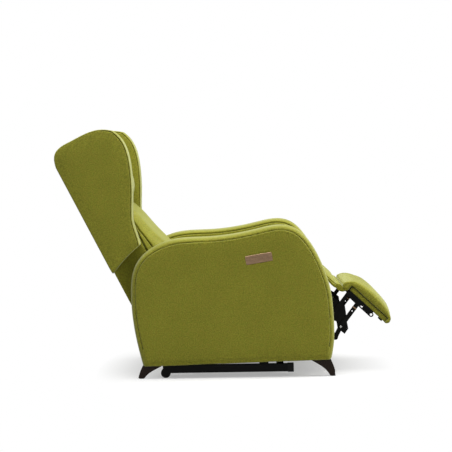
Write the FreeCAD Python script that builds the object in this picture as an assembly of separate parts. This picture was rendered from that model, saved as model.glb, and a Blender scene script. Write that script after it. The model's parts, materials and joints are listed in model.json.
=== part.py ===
import FreeCAD, Part
import math
import os

# Power recliner with wings, in millimetres. X runs forward to the footrest, Y to the sitter's left, Z up.
# The chair stands part-way open: back reclined, footrest part-way out.

# Overall sizes
chair_half_width = 380.0
arm_length = 796.0
arm_height = 595.0
arm_rear_x = -383.5
arm_inner_y = 252.0
arm_edge_inset = 14.0
arm_panel_depth = 4.0
arm_panel_gap = 1.5
floor_gap_rear = 49.0
floor_gap_front = 66.0

# Recline: the back is drawn upright about its hinge, then leaned
hinge_x = -191.5
hinge_z = 350.0
recline_angle = 27.0
back_height = 704.0
back_rear = 207.0
back_half_width = 248.0
shell_wall = 10.0
shell_rear_wall = 16.0
shell_front = -52.0
shell_corner = 18.0
shell_top_corner = 60.0
wing_outer_y = 366.0
wing_depth = 285.0
wing_rear = 204.5
wing_edge_inset = 14.0

# Back frame
post_thickness = 18.0
post_depth = 55.0
post_front = -72.0
post_bottom = -12.0
post_top_gap = 32.0
back_rail_height = 34.0
back_rail_depth = 18.0
back_rail_lowest = 44.0
back_rail_count = 3
bracket_arm_half = 17.0
bracket_arm_top = 150.0
bracket_slot = 4.0

# Back cushions
cushion_clearance = 0.3
lumbar_bottom = 36.0
lumbar_top = 396.0
lumbar_depth = 90.0
lumbar_edge_depth = 40.0
head_top_gap = 20.0
head_depth = 66.0
head_edge_depth = 34.0
cushion_split = 5.0

# Side plates of the mechanism
plate_inner_y = 206.0
plate_thickness = 4.0
layer_gap = 3.5
link_thickness = 4.0
link_half_width = 9.0
eye_radius = 11.0
pin_radius = 4.5
pin_head_radius = 7.5
pin_head = 2.0
pin_clearance = 0.3
open_pivot_clearance = 1.6
hinge_boss_radius = 22.0
hinge_pin_radius = 7.0
plate_lower_z = 248.0

# Pivots of the footrest linkage, as the chair stands
front_pivot_x = 327.2
front_pivot_z = 335.3
rear_pivot_x = 305.4
rear_pivot_z = 288.1
upper_joint_x = 404.4
upper_joint_z = 219.8
elbow_x = 443.0
elbow_z = 180.0
tail_joint_x = 421.5
tail_joint_z = 138.6
board_joint_x = 514.0
board_joint_z = 274.0
front_link_bow_x = 415.9
front_link_bow_z = 282.4

# Footrest, drawn along its board about the board joint
footrest_angle = -43.0
bracket_pitch = 54.4
bracket_rise = 1.9
bracket_reach = 69.0
bracket_half_width = 9.5
bracket_hole_radius = 5.0
bracket_flange = 18.0
bracket_flange_thickness = 3.0
board_underside = 15.0
board_thickness = 20.0
board_rear = 60.0
board_front = 130.0
board_half_width = 238.0
pad_half_width = 246.0
pad_crown = 41.2
pad_edge_drop = 14.0
pad_rear = 96.7
pad_front = 144.3
pad_underlap = 24.0
pad_apron = 31.0
pad_behind = 66.5
bumper_radius = 10.0
bumper_height = 8.0
bumper_y = 196.0

# Bridge flap in front of the seat
flap_hinge_x = 350.0
flap_hinge_z = 424.0
flap_angle = -43.0
flap_start = 7.0
flap_length = 114.0
flap_board = 6.0
flap_crown = 10.0
flap_edge_crown = 7.0
flap_half_width = 236.0
flap_barrel_radius = 4.0

# Seat frame and cushion
seat_rake = 7.0
seat_rear_x = -167.5
seat_front_x = 312.0
seat_front_z = 364.0
seat_half_width = 246.0
seat_thickness = 76.0
seat_crown = 14.0
seat_lip_x = 341.0
seat_lip_thickness = 14.0
seat_side_draw = 6.0
seat_rail_width = 28.0
seat_rail_height = 30.0
seat_rail_drop = 12.0
seat_rail_front_x = 290.0
cross_tube = 25.0
cross_wall = 2.0
cross_front_x = 246.0
cross_rear_x = -146.0
front_rail_thickness = 18.0
front_rail_top = 415.0
webbing_width = 52.0
webbing_thickness = 2.0
webbing_pitch = 78.0
webbing_count = 5

# Base frame, rollers and posts
base_rail_size = 30.0
base_rail_wall = 2.5
base_rail_bottom = 20.0
base_rail_inner_y = 325.0
base_rail_rear_x = -228.0
base_rail_front_x = 251.0
end_cap_length = 24.0
end_cap_lip = 1.5
base_cross_rear_x = -150.0
base_cross_front_x = 188.0
base_cross_size = 25.0
bracket_front_x = 116.0
bracket_rear_x = -220.0
bracket_length = 36.0
bracket_width = 22.0
roller_x = -251.5
roller_radius = 19.0
roller_floor_gap = 1.0
roller_width = 22.0
roller_axle_radius = 4.0
roller_side_gap = 1.0
roller_cheek = 3.0
post_width = 30.0
post_lap = 22.0
post_plate = 5.0

# Feet
foot_thickness = 46.0
foot_tip_thickness = 26.0
foot_inset_y = 20.0
glide_radius = 10.0
glide_thickness = 3.0
front_foot_setback = 94.5
rear_foot_setback = 41.5
foot_top_length = 78.0
foot_tip_length = 25.0
front_foot_kick = 74.0
rear_foot_kick = 17.0

# Drive
rail_width = 40.0
rail_height = 20.0
rail_wall = 2.5
rail_rear_x = 20.0
rail_front_x = 266.0
rail_bottom = 262.0
hanger_width = 8.0
gearbox_length = 62.0
gearbox_width = 58.0
gearbox_height = 66.0
gearbox_edge = 8.0
motor_radius = 26.0
motor_length = 104.0
motor_cap = 6.0
torque_tube_radius = 10.0
lever_orbit = 57.0
lever_lead = 4.6
lever_thickness = 10.0
lever_half_width = 9.0
drive_pin_radius = 4.0
drive_pin_length = 26.0
yoke_clearance = 1.6
yoke_wall = 8.0
yoke_plate = 5.0
yoke_rise = 18.0
carriage_length = 46.0
carriage_clearance = 0.4
carriage_from_yoke = 96.0
push_bar_height = 12.0
power_box_length = 120.0
power_box_width = 74.0
power_box_height = 34.0
power_box_y = 96.0
power_box_edge = 4.0

# Control plate on the outer side of the right arm
switch_x = 120.5
switch_z = 466.5
switch_length = 106.0
switch_height = 35.0
switch_angle = 8.7
switch_corner = 3.0
switch_thickness = 3.0
switch_bevel = 1.2
housing_length = 92.0
housing_height = 26.0
housing_depth = 24.0
housing_clearance = 0.5
button_pitch = 48.0
button_length = 22.0
button_height = 15.0
button_taper = 3.0
button_rise = 1.8
button_travel = 1.5
button_clearance = 0.35
button_well = 8.0
groove_height = 2.0
groove_depth = 0.6

cut_over = 2.0

# The chair is centred between its back and its footrest
stand_x = 14.5

bracket_hole_shares = (0.28, 1.0)
link_hole_share = 0.66
link_hole_radius = 2.6

# Outlines, as shares of the length and height of what they shape
arm_curve_shares = [
    (0.060, 0.0823), (0.019, 0.290), (0.001, 0.590), (0.006, 0.668), (0.020, 0.734), (0.050, 0.798),
    (0.100, 0.855), (0.200, 0.911), (0.376, 0.928), (0.516, 0.946), (0.640, 0.979), (0.740, 1.000),
    (0.805, 0.983), (0.875, 0.905), (0.940, 0.752), (0.983, 0.580), (0.998, 0.400), (1.000, 0.260),
    (0.978, 0.1109)]
wing_curve_shares = [
    (0.0, 0.915), (0.028, 0.957), (0.075, 0.986), (0.140, 1.001), (0.340, 1.008), (0.600, 1.006), (0.760, 0.992),
    (0.870, 0.968), (0.962, 0.930), (0.994, 0.875), (0.970, 0.800), (0.890, 0.705), (0.790, 0.615), (0.690, 0.542),
    (0.600, 0.475), (0.555, 0.400), (0.518, 0.318)]
wing_lower_shares = [(0.518, 0.318), (0.270, 0.292), (0.0, 0.246)]
pad_height_shares = [
    (0.0, -0.54), (0.025, -0.18), (0.054, 0.09), (0.095, 0.38), (0.162, 0.65), (0.245, 0.84), (0.361, 0.965),
    (0.519, 1.0), (0.672, 0.915), (0.817, 0.745), (0.925, 0.454), (0.983, 0.138), (1.0, -0.2)]
front_plate_shares = [
    (0.862, 0.708), (1.009, 0.644), (1.164, 0.528), (1.199, 0.322), (1.225, 0.122), (1.268, -0.058), (1.138, -0.193),
    (1.009, -0.109), (0.896, -0.026), (0.862, 0.129), (0.732, 0.180), (0.629, 0.322), (0.680, 0.657)]
lumbar_front_shares = [
    (0.0, 0.80), (0.035, 0.98), (0.120, 1.08), (0.260, 1.01), (0.400, 0.82), (0.640, 0.52), (0.810, 0.35),
    (0.940, 0.17), (1.0, 0.07)]
head_front_shares = [(0.0, 0.25), (0.10, 0.74), (0.35, 1.0), (0.70, 0.96), (0.92, 0.62), (1.0, 0.20)]
seat_top_shares = [
    (0.0, 0.55), (0.04, 0.84), (0.14, 0.97), (0.30, 1.0), (0.70, 1.0), (0.90, 0.96), (0.97, 0.88), (1.0, 0.74)]
flap_top_shares = [
    (0.0, 0.25), (0.015, 0.55), (0.05, 0.82), (0.14, 0.96), (0.35, 1.0), (0.65, 1.0), (0.86, 0.96), (0.95, 0.82),
    (0.985, 0.55), (1.0, 0.25)]
crown_half_shares = [(0.5, 0.01), (0.75, 0.08), (0.88, 0.28), (0.96, 0.62), (1.0, 1.0)]
crown_shares = [(-side, edge) for side, edge in reversed(crown_half_shares)] + [(0.0, 0.0)] + crown_half_shares
edge_sections_shares = [(0.0, 1.0), (0.04, 0.56), (0.12, 0.22), (0.26, 0.04), (0.5, 0.0), (0.74, 0.04), (0.88, 0.22),
                        (0.96, 0.56), (1.0, 1.0)]

vector = FreeCAD.Vector
side_axis = vector(0, -1, 0)


def block(x0, x1, y0, y1, z0, z1):
    return Part.makeBox(x1 - x0, y1 - y0, z1 - z0, vector(x0, y0, z0))


def rod(x, z, radius, y0, y1):
    return Part.makeCylinder(radius, y1 - y0, vector(x, y0, z), vector(0, 1, 0))


def plate(points, y0, y1):
    """A flat side profile, given as (x, z) points, with its thickness along Y."""
    corners = [vector(x, y0, z) for x, z in points]
    face = Part.Face(Part.makePolygon(corners + corners[:1]))
    return face.extrude(vector(0, y1 - y0, 0))


def bar(start, end, half_width, y0, y1):
    """A flat bar between two (x, z) points with round ends."""
    length = math.hypot(end[0] - start[0], end[1] - start[1])
    across = ((start[1] - end[1]) * half_width / length, (end[0] - start[0]) * half_width / length)
    corners = [(start[0] + across[0], start[1] + across[1]), (end[0] + across[0], end[1] + across[1]),
               (end[0] - across[0], end[1] - across[1]), (start[0] - across[0], start[1] - across[1])]
    ends = [rod(x, z, half_width, y0, y1) for x, z in (start, end)]
    return plate(corners, y0, y1).fuse(ends)


def tube_along_x(x0, x1, y0, z0, size, wall):
    inner = block(x0 - cut_over, x1 + cut_over, y0 + wall, y0 + size - wall, z0 + wall, z0 + size - wall)
    return block(x0, x1, y0, y0 + size, z0, z0 + size).cut(inner)


def tube_along_y(x0, y0, y1, z0, size, wall):
    inner = block(x0 + wall, x0 + size - wall, y0 - cut_over, y1 + cut_over, z0 + wall, z0 + size - wall)
    return block(x0, x0 + size, y0, y1, z0, z0 + size).cut(inner)


def mirrored(shape):
    return shape.mirror(vector(0, 0, 0), vector(0, 1, 0))


def group(shapes):
    return Part.makeCompound(shapes)


def rounded_edges(shape, radius, chosen):
    edges = [edge for edge in shape.Edges if chosen(edge)]
    return shape.makeFillet(radius, edges)


def along_y(edge):
    return abs(edge.tangentAt(edge.FirstParameter).y) > 0.99


def at_top_rear(edge, rear, top):
    middle = edge.CenterOfMass
    return along_y(edge) and abs(middle.x - rear) < cut_over and abs(middle.z - top) < cut_over


def inset_loop(points, distance):
    """Moves a closed loop of (x, z) points inwards, each corner to where its two moved sides meet."""
    area = sum(a[0] * b[1] - b[0] * a[1] for a, b in zip(points, points[1:] + points[:1]))
    turn = 1.0 if area > 0 else -1.0
    moved = []
    for before, here, after in zip(points[-1:] + points[:-1], points, points[1:] + points[:1]):
        normals = []
        for a, b in ((before, here), (here, after)):
            length = math.hypot(b[0] - a[0], b[1] - a[1])
            normals.append((-(b[1] - a[1]) * turn / length, (b[0] - a[0]) * turn / length))
        (nx, nz), (mx, mz) = normals
        reach = distance / (1 + nx * mx + nz * mz)
        moved.append((here[0] + (nx + mx) * reach, here[1] + (nz + mz) * reach))
    return moved


def section_wire(chains, y, inset=0.0):
    """A closed wire at one Y. Each chain of (x, z) points starts where the one before it ends."""
    loop = [point for chain in chains for point in chain[:-1]]
    if inset:
        loop = inset_loop(loop, inset)
    edges = []
    start = 0
    for chain in chains:
        picked = [loop[(start + step) % len(loop)] for step in range(len(chain))]
        corners = [vector(x, y, z) for x, z in picked]
        if len(corners) == 2:
            edges.append(Part.makeLine(corners[0], corners[1]))
        else:
            curve = Part.BSplineCurve()
            curve.interpolate(corners)
            edges.append(curve.toShape())
        start += len(chain) - 1
    return Part.Wire(edges)


def edge_crowned(chains, y0, y1, edge_inset):
    """A thick padded side: the outline draws in towards both of its flat faces."""
    wires = [section_wire(chains, y0 + share * (y1 - y0), inset * edge_inset)
             for share, inset in edge_sections_shares]
    return Part.makeLoft(wires, True, False)


def sectioned(profile, half_width):
    """A cushion: profile(edge_share) gives its chains, from 0 in the middle to 1 at either side."""
    wires = [section_wire(profile(edge), share * half_width) for share, edge in crown_shares]
    return Part.makeLoft(wires, True, False)


def shared(shares, x0, z0, length, height):
    return [(x0 + x * length, z0 + z * height) for x, z in shares]


# Where things are

def arm_underside(x):
    rear = arm_rear_x + arm_curve_shares[0][0] * arm_length
    front = arm_rear_x + arm_curve_shares[-1][0] * arm_length
    return floor_gap_rear + (floor_gap_front - floor_gap_rear) * (x - rear) / (front - rear)


def seat_underside(x):
    return seat_front_z + (x - seat_front_x) * math.tan(math.radians(seat_rake))


def layer_y(number):
    """The inner face of a link layer, counted outwards from the side plate."""
    return plate_inner_y + plate_thickness + layer_gap + number * (link_thickness + layer_gap)


def turned(shape, x, z, angle):
    """Turns a shape, drawn about the origin, and carries it to its hinge."""
    moved = shape.copy()
    moved.rotate(vector(0, 0, 0), side_axis, angle)
    moved.translate(vector(x, 0, z))
    return moved


def turned_point(along, up, x, z, angle):
    a = math.radians(angle)
    return (x + along * math.cos(a) - up * math.sin(a), z + along * math.sin(a) + up * math.cos(a))


def on_back(shape):
    return turned(shape, hinge_x, hinge_z, recline_angle)


def on_footrest(shape):
    return turned(shape, board_joint_x, board_joint_z, footrest_angle)


def on_flap(shape):
    return turned(shape, flap_hinge_x, flap_hinge_z, flap_angle)


front_pivot = (front_pivot_x, front_pivot_z)
rear_pivot = (rear_pivot_x, rear_pivot_z)
upper_joint = (upper_joint_x, upper_joint_z)
elbow = (elbow_x, elbow_z)
tail_joint = (tail_joint_x, tail_joint_z)
board_joint = (board_joint_x, board_joint_z)
top_joint = turned_point(-bracket_pitch, bracket_rise, board_joint_x, board_joint_z, footrest_angle)
rear_layer = layer_y(0)
front_layer = layer_y(1)
long_layer = layer_y(2)
bracket_layer = layer_y(3)


# Arms

def arm_chains(spare=0.0):
    """The arm from the side. Spare lowers its underside, for a body that is cut flat afterwards."""
    curve = shared(arm_curve_shares, arm_rear_x, 0, arm_length, arm_height)
    rear = (curve[0][0], floor_gap_rear - spare)
    front = (curve[-1][0], floor_gap_front - spare)
    curve = [rear] + curve[1:-1] + [front]
    return [curve, [front, rear]]


def arm_body():
    body = edge_crowned(arm_chains(arm_edge_inset), arm_inner_y, chair_half_width - arm_panel_depth, arm_edge_inset)
    rear = arm_rear_x - cut_over
    front = arm_rear_x + arm_length + cut_over
    below = [(rear, arm_underside(rear)), (front, arm_underside(front)), (front, -arm_edge_inset), (rear, -arm_edge_inset)]
    return body.cut(plate(below, arm_inner_y - cut_over, chair_half_width))


def arm_panel():
    inset = arm_edge_inset + arm_panel_gap
    face = Part.Face(section_wire(arm_chains(), chair_half_width - arm_panel_depth, inset))
    return face.extrude(vector(0, arm_panel_depth, 0))


def switch_pocket():
    depth = housing_depth + housing_clearance
    length = housing_length / 2 + housing_clearance
    height = housing_height / 2 + housing_clearance
    pocket = block(-length, length, -chair_half_width - cut_over, -chair_half_width + depth, -height, height)
    return turned(pocket, switch_x, switch_z, switch_angle)


# Feet

def front_foot_x():
    return arm_rear_x + arm_length - front_foot_setback


def rear_foot_x():
    return arm_rear_x + rear_foot_setback


def foot(rear_x, kick):
    """A splayed foot: flat under the arm, a hollow front curve, and a small tip on the floor."""
    front_x = rear_x + foot_top_length
    heel_x = rear_x + kick
    toe_x = heel_x + foot_tip_length
    top_rear = (rear_x, arm_underside(rear_x))
    top_front = (front_x, arm_underside(front_x))
    tip = glide_thickness
    if kick > foot_tip_length:
        hollow = [top_rear, (rear_x + 0.47 * kick, arm_underside(rear_x) * 0.68),
                  (rear_x + 0.83 * kick, arm_underside(rear_x) * 0.34), (heel_x, tip)]
        outer = [(toe_x, tip), (front_x + 0.62 * (toe_x - front_x), arm_underside(front_x) * 0.52), top_front]
        chains = [hollow, [(heel_x, tip), (toe_x, tip)], outer, [top_front, top_rear]]
    else:
        heel_x = rear_x - kick
        toe_x = heel_x + foot_tip_length
        outer = [top_rear, (rear_x - 0.62 * kick, arm_underside(rear_x) * 0.52), (heel_x, tip)]
        hollow = [(toe_x, tip), (toe_x + 0.17 * (front_x - toe_x), arm_underside(rear_x) * 0.34),
                  (toe_x + 0.53 * (front_x - toe_x), arm_underside(rear_x) * 0.68), top_front]
        chains = [outer, [(heel_x, tip), (toe_x, tip)], hollow, [top_front, top_rear]]
    outer_y = chair_half_width - foot_inset_y
    inner_y = outer_y - foot_thickness
    side = Part.Face(section_wire(chains, inner_y)).extrude(vector(0, foot_thickness, 0))
    return side.common(foot_taper(inner_y, outer_y))


def foot_taper(inner_y, outer_y):
    """The foot seen from the front: it narrows to its tip from the inner side."""
    top = floor_gap_front + cut_over
    corners = [vector(arm_rear_x, outer_y, 0), vector(arm_rear_x, outer_y, top),
               vector(arm_rear_x, inner_y, top), vector(arm_rear_x, outer_y - foot_tip_thickness, 0)]
    face = Part.Face(Part.makePolygon(corners + corners[:1]))
    return face.extrude(vector(arm_length, 0, 0))


def foot_glides():
    y = chair_half_width - foot_inset_y - foot_tip_thickness / 2
    half_tip = foot_tip_length / 2
    centres = [front_foot_x() + front_foot_kick + half_tip, rear_foot_x() - rear_foot_kick + half_tip]
    return group([Part.makeCylinder(glide_radius, glide_thickness, vector(x, side * y, 0))
                  for x in centres for side in (1, -1)])


# Base frame

def base_rail():
    return tube_along_x(base_rail_rear_x, base_rail_front_x - end_cap_length, base_rail_inner_y,
                        base_rail_bottom, base_rail_size, base_rail_wall)


def rail_end_caps():
    x1 = base_rail_front_x
    x0 = x1 - end_cap_length
    low = base_rail_bottom - end_cap_lip
    high = base_rail_bottom + base_rail_size + end_cap_lip
    cap = block(x0, x1, base_rail_inner_y - end_cap_lip, base_rail_inner_y + base_rail_size + end_cap_lip, low, high)
    cap = rounded_edges(cap, end_cap_lip, lambda edge: edge.CenterOfMass.x > x1 - end_cap_lip)
    return group([cap, mirrored(cap)])


def base_cross_frame():
    """Two cross tubes between the base rails, with the four angle posts that carry the side plates."""
    foot_z = base_rail_bottom + base_cross_size
    members = []
    for x in (base_cross_rear_x, base_cross_front_x):
        tube = tube_along_y(x, -base_rail_inner_y, base_rail_inner_y, base_rail_bottom, base_cross_size, base_rail_wall)
        x0 = x + (base_cross_size - post_width) / 2
        web = block(x0, x0 + post_width, plate_inner_y - post_plate, plate_inner_y, foot_z, plate_lower_z + post_lap)
        sole = block(x0, x0 + post_width, plate_inner_y - post_width, plate_inner_y, foot_z, foot_z + post_plate)
        post = web.fuse(sole)
        members.append(tube.fuse([post, mirrored(post)]))
    return group(members)


def arm_brackets():
    """Spacers that bolt the base rails up to the arms."""
    y0 = base_rail_inner_y + (base_rail_size - bracket_width) / 2
    rail_top = base_rail_bottom + base_rail_size
    spacers = []
    for x in (bracket_front_x, bracket_rear_x):
        corners = [(x, rail_top), (x + bracket_length, rail_top), (x + bracket_length, arm_underside(x + bracket_length)),
                   (x, arm_underside(x))]
        spacers.append(plate(corners, y0, y0 + bracket_width))
    return group(spacers + [mirrored(spacer) for spacer in spacers])


def roller_centre_z():
    return roller_radius + roller_floor_gap


def roller_middle_y():
    return base_rail_inner_y + base_rail_size / 2


def roller():
    y = roller_middle_y()
    wheel = rod(roller_x, roller_centre_z(), roller_radius, y - roller_width / 2, y + roller_width / 2)
    bore = rod(roller_x, roller_centre_z(), roller_axle_radius + pin_clearance, y - roller_width, y + roller_width)
    return wheel.cut(bore)


def roller_bracket():
    """A fork behind the rail: two cheeks, a top strap above the wheel, and the axle through them."""
    y = roller_middle_y()
    inside = roller_width / 2 + roller_side_gap
    outside = inside + roller_cheek
    top = base_rail_bottom + base_rail_size
    wheel_top = roller_centre_z() + roller_radius
    cheeks = []
    for y0 in (y - outside, y + inside):
        cheek = block(roller_x - eye_radius, base_rail_rear_x, y0, y0 + roller_cheek, base_rail_bottom, top)
        cheeks.append(cheek.fuse(rod(roller_x, roller_centre_z(), eye_radius, y0, y0 + roller_cheek)))
    strap = block(roller_x - eye_radius, base_rail_rear_x, y - outside, y + outside, top - roller_cheek, top)
    web = block(base_rail_rear_x - roller_cheek, base_rail_rear_x, y - outside, y + outside, base_rail_bottom, top)
    axle = rod(roller_x, roller_centre_z(), roller_axle_radius, y - outside, y + outside)
    fork = cheeks[0].fuse([cheeks[1], strap, web, axle])
    return fork.cut(rod(roller_x, roller_centre_z(), wheel_top - roller_centre_z() + roller_side_gap,
                        y - inside, y + inside)).fuse(axle)


# Mechanism side plates and pins

def side_plate():
    nose = eye_radius
    corners = [
        (hinge_x - nose, hinge_z - hinge_boss_radius), (hinge_x - hinge_boss_radius, hinge_z),
        (hinge_x + hinge_boss_radius, hinge_z), (seat_rear_x - cut_over, cross_line(seat_rear_x)),
        (seat_rail_front_x, cross_line(seat_rail_front_x)), (seat_front_x, front_pivot_z + nose),
        (front_pivot_x, front_pivot_z + nose), (front_pivot_x + nose, front_pivot_z),
        (rear_pivot_x + nose, rear_pivot_z - nose / 2), (rear_pivot_x, rear_pivot_z - nose),
        (base_cross_front_x + post_width, plate_lower_z), (base_cross_rear_x - post_width / 2, plate_lower_z)]
    sheet = plate(corners, plate_inner_y, plate_inner_y + plate_thickness)
    for (x, z), radius in ((front_pivot, eye_radius), (rear_pivot, eye_radius), ((hinge_x, hinge_z), hinge_boss_radius)):
        sheet = sheet.fuse(rod(x, z, radius, plate_inner_y, plate_inner_y + plate_thickness))
    for (x, z), radius in ((front_pivot, pin_radius), (rear_pivot, pin_radius), ((hinge_x, hinge_z), hinge_pin_radius)):
        hole = radius + pin_clearance
        sheet = sheet.cut(rod(x, z, hole, plate_inner_y - cut_over, plate_inner_y + plate_thickness + cut_over))
    slot_z = plate_lower_z + post_width * 1.15
    for x in (base_cross_rear_x + post_width * 2.2, base_cross_rear_x + post_width * 6.2):
        slot = bar((x, slot_z), (x + post_width * 2.4, slot_z), link_half_width,
                   plate_inner_y - cut_over, plate_inner_y + plate_thickness + cut_over)
        sheet = sheet.cut(slot)
    return sheet.removeSplitter()


def headed_pin(point, radius, y0, y1):
    """A rivet with a low head outside each of the faces at y0 and y1."""
    shank = rod(point[0], point[1], radius, y0, y1)
    heads = [rod(point[0], point[1], radius + pin_head_radius - pin_radius, y, y + pin_head)
             for y in (y0 - pin_head, y1)]
    return shank.fuse(heads)


def hinge_pins():
    pins = []
    inner = plate_inner_y
    bracket_face = plate_inner_y + plate_thickness + pin_head + plate_thickness
    pin = headed_pin((hinge_x, hinge_z), hinge_pin_radius, inner, bracket_face)
    pins.append(pin)
    pins.append(mirrored(pin))
    return group(pins)


def link_holes(link, points, radius, y0):
    for point in points:
        link = link.cut(rod(point[0], point[1], radius, y0 - cut_over, y0 + link_thickness + cut_over))
    return link


def eyes(points, y0):
    return [rod(x, z, eye_radius, y0, y0 + link_thickness) for x, z in points]


def front_link():
    """Hangs from the side plate and bows forward to the elbow. It carries its top pin and the upper joint's pin."""
    y0 = front_layer
    y1 = y0 + link_thickness
    bow = (front_link_bow_x, front_link_bow_z)
    web = shared(front_plate_shares, front_pivot_x, elbow_z, elbow_x - front_pivot_x, front_pivot_z - elbow_z)
    link = bar(front_pivot, bow, link_half_width, y0, y1).fuse(
        [plate(web, y0, y1)] + eyes([front_pivot, bow, upper_joint, elbow], y0))
    link = link_holes(link, [elbow], pin_radius + pin_clearance, y0)
    top_pin = headed_pin(front_pivot, pin_radius, plate_inner_y, y1)
    joint_pin = headed_pin(upper_joint, pin_radius, y0, long_layer + link_thickness)
    spacer = rod(front_pivot_x, front_pivot_z, pin_head_radius, plate_inner_y + plate_thickness, y0)
    return link.fuse([top_pin, joint_pin, spacer]).removeSplitter()


def rear_link():
    """Steers the tail of the long link from the side plate."""
    y0 = rear_layer
    y1 = y0 + link_thickness
    link = bar(rear_pivot, tail_joint, link_half_width, y0, y1).fuse(eyes([rear_pivot, tail_joint], y0))
    link = link_holes(link, [tail_joint], pin_radius + open_pivot_clearance, y0)
    pin = headed_pin(rear_pivot, pin_radius, plate_inner_y, y1)
    spacer = rod(rear_pivot_x, rear_pivot_z, pin_head_radius, plate_inner_y + plate_thickness, y0)
    return link.fuse([pin, spacer]).removeSplitter()


def long_link():
    """Crosses the front link at the elbow: its tail is steered, its other end carries the footrest."""
    y0 = long_layer
    y1 = y0 + link_thickness
    link = bar(tail_joint, elbow, link_half_width, y0, y1).fuse(
        [bar(elbow, board_joint, link_half_width, y0, y1)] + eyes([tail_joint, elbow, board_joint], y0))
    link = link_holes(link, [board_joint], pin_radius + pin_clearance, y0)
    small_hole = (elbow_x + (board_joint_x - elbow_x) * link_hole_share,
                  elbow_z + (board_joint_z - elbow_z) * link_hole_share)
    link = link_holes(link, [small_hole], link_hole_radius, y0)
    elbow_pin = headed_pin(elbow, pin_radius, front_layer, y1)
    tail_pin = headed_pin(tail_joint, pin_radius, rear_layer, y1)
    return link.fuse([elbow_pin, tail_pin]).removeSplitter()


def upper_link():
    """Runs beside the long link from the front link to the footrest bracket's top joint."""
    y0 = long_layer
    y1 = y0 + link_thickness
    half = link_half_width - pin_head / 2
    link = bar(upper_joint, top_joint, half, y0, y1)
    link = link_holes(link, [upper_joint], pin_radius + pin_clearance, y0)
    return link_holes(link, [top_joint], pin_radius + open_pivot_clearance, y0)


def drive_pin_point():
    a = math.radians(lever_lead)
    return (front_pivot_x + lever_orbit * math.sin(a), front_pivot_z - lever_orbit * math.cos(a))


def torque_tube():
    """Ties the two front links together. Its lever carries the pin that the drive's yoke pushes."""
    tube_point = (front_link_bow_x, front_link_bow_z)
    pin_point = drive_pin_point()
    tube = rod(tube_point[0], tube_point[1], torque_tube_radius, -front_layer, front_layer)
    half = lever_thickness / 2
    lever = bar(tube_point, pin_point, lever_half_width, -half, half)
    pin = rod(pin_point[0], pin_point[1], drive_pin_radius, -drive_pin_length / 2, drive_pin_length / 2)
    return tube.fuse([lever, pin]).removeSplitter()


# Drive

def drive_rail():
    """A channel that opens upwards, hung from the front cross tube and bolted to the gearbox."""
    half = rail_width / 2
    channel = block(rail_rear_x, rail_front_x, -half, half, rail_bottom, rail_bottom + rail_height)
    channel = channel.cut(block(rail_rear_x - cut_over, rail_front_x + cut_over, -half + rail_wall, half - rail_wall,
                                rail_bottom + rail_wall, rail_bottom + rail_height + cut_over))
    top = cross_bottom(cross_front_x)
    x0 = rail_front_x - cross_tube
    hangers = [block(x0, x0 + hanger_width * 2, y0, y0 + rail_wall * 2, rail_bottom, top)
               for y0 in (half, -half - rail_wall * 2)]
    return channel.fuse(hangers).removeSplitter()


def drive_motor():
    """Gearbox block with a rear lug, and the motor can across its side."""
    half = gearbox_width / 2
    x1 = rail_rear_x
    x0 = x1 - gearbox_length
    z0 = rail_bottom - (gearbox_height - rail_height) / 2
    box = rounded_edges(block(x0, x1, -half, half, z0, z0 + gearbox_height), gearbox_edge, along_y)
    lug_z = cross_bottom(cross_rear_x) + cross_tube / 2
    lug = block(cross_rear_x + cross_tube, x0 + gearbox_edge, -lever_thickness, lever_thickness,
                lug_z - lever_thickness, lug_z + lever_thickness)
    middle_x = x0 + gearbox_length / 2
    middle_z = z0 + gearbox_height / 2
    can = rod(middle_x, middle_z, motor_radius, half, half + motor_length)
    cap = rod(middle_x, middle_z, motor_radius - motor_cap / 2, half + motor_length, half + motor_length + motor_cap)
    return box.fuse([lug, can, cap]).removeSplitter()


def drive_carriage():
    """Slides in the rail and pushes the lever's pin through an upright slot in its yoke."""
    pin_x, pin_z = drive_pin_point()
    half = rail_width / 2 - rail_wall - carriage_clearance
    floor_z = rail_bottom + rail_wall + carriage_clearance
    shoe_x = pin_x - carriage_from_yoke
    shoe = block(shoe_x - carriage_length, shoe_x, -half, half, floor_z, floor_z + rail_height)
    slot_half = drive_pin_radius + yoke_clearance
    wide = slot_half + yoke_wall
    arms = []
    for y0 in (lever_thickness / 2 + carriage_clearance * 2, -lever_thickness / 2 - carriage_clearance * 2 - yoke_plate):
        head = bar((pin_x, pin_z - drive_pin_radius), (pin_x, pin_z + yoke_rise), wide, y0, y0 + yoke_plate)
        slot = bar((pin_x, pin_z - drive_pin_radius), (pin_x, pin_z + yoke_rise), slot_half,
                   y0 - cut_over, y0 + yoke_plate + cut_over)
        z0 = pin_z - push_bar_height / 2
        push = block(shoe_x - carriage_length / 2, pin_x - slot_half, y0, y0 + yoke_plate, z0, z0 + push_bar_height)
        arms.append(head.fuse(push).cut(slot))
    return shoe.fuse(arms).removeSplitter()


def power_box():
    """Hangs under the front cross tube."""
    z1 = cross_bottom(cross_front_x)
    box = block(cross_front_x + cross_tube - power_box_length, cross_front_x + cross_tube,
                -power_box_y - power_box_width, -power_box_y, z1 - power_box_height, z1)
    return rounded_edges(box, power_box_edge, along_y)


# Seat

def cross_bottom(x):
    return seat_underside(x) - webbing_thickness - cushion_clearance - cross_tube


def seat_rail():
    """A raked rail inside each side plate."""
    rear = cross_rear_x - cross_tube / 2
    front = seat_rail_front_x
    corners = []
    for x, drop in ((rear, 0), (front, 0), (front, seat_rail_height), (rear, seat_rail_height)):
        corners.append((x, cross_line(x) - drop))
    return plate(corners, plate_inner_y - seat_rail_width, plate_inner_y)


def cross_line(x):
    """The line of the cross tubes' tops, through their rear edges."""
    return seat_underside(x) - webbing_thickness - cushion_clearance


def seat_cross_tube(x):
    half = plate_inner_y - seat_rail_width
    return tube_along_y(x, -half, half, cross_line(x) - cross_tube, cross_tube, cross_wall)


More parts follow.
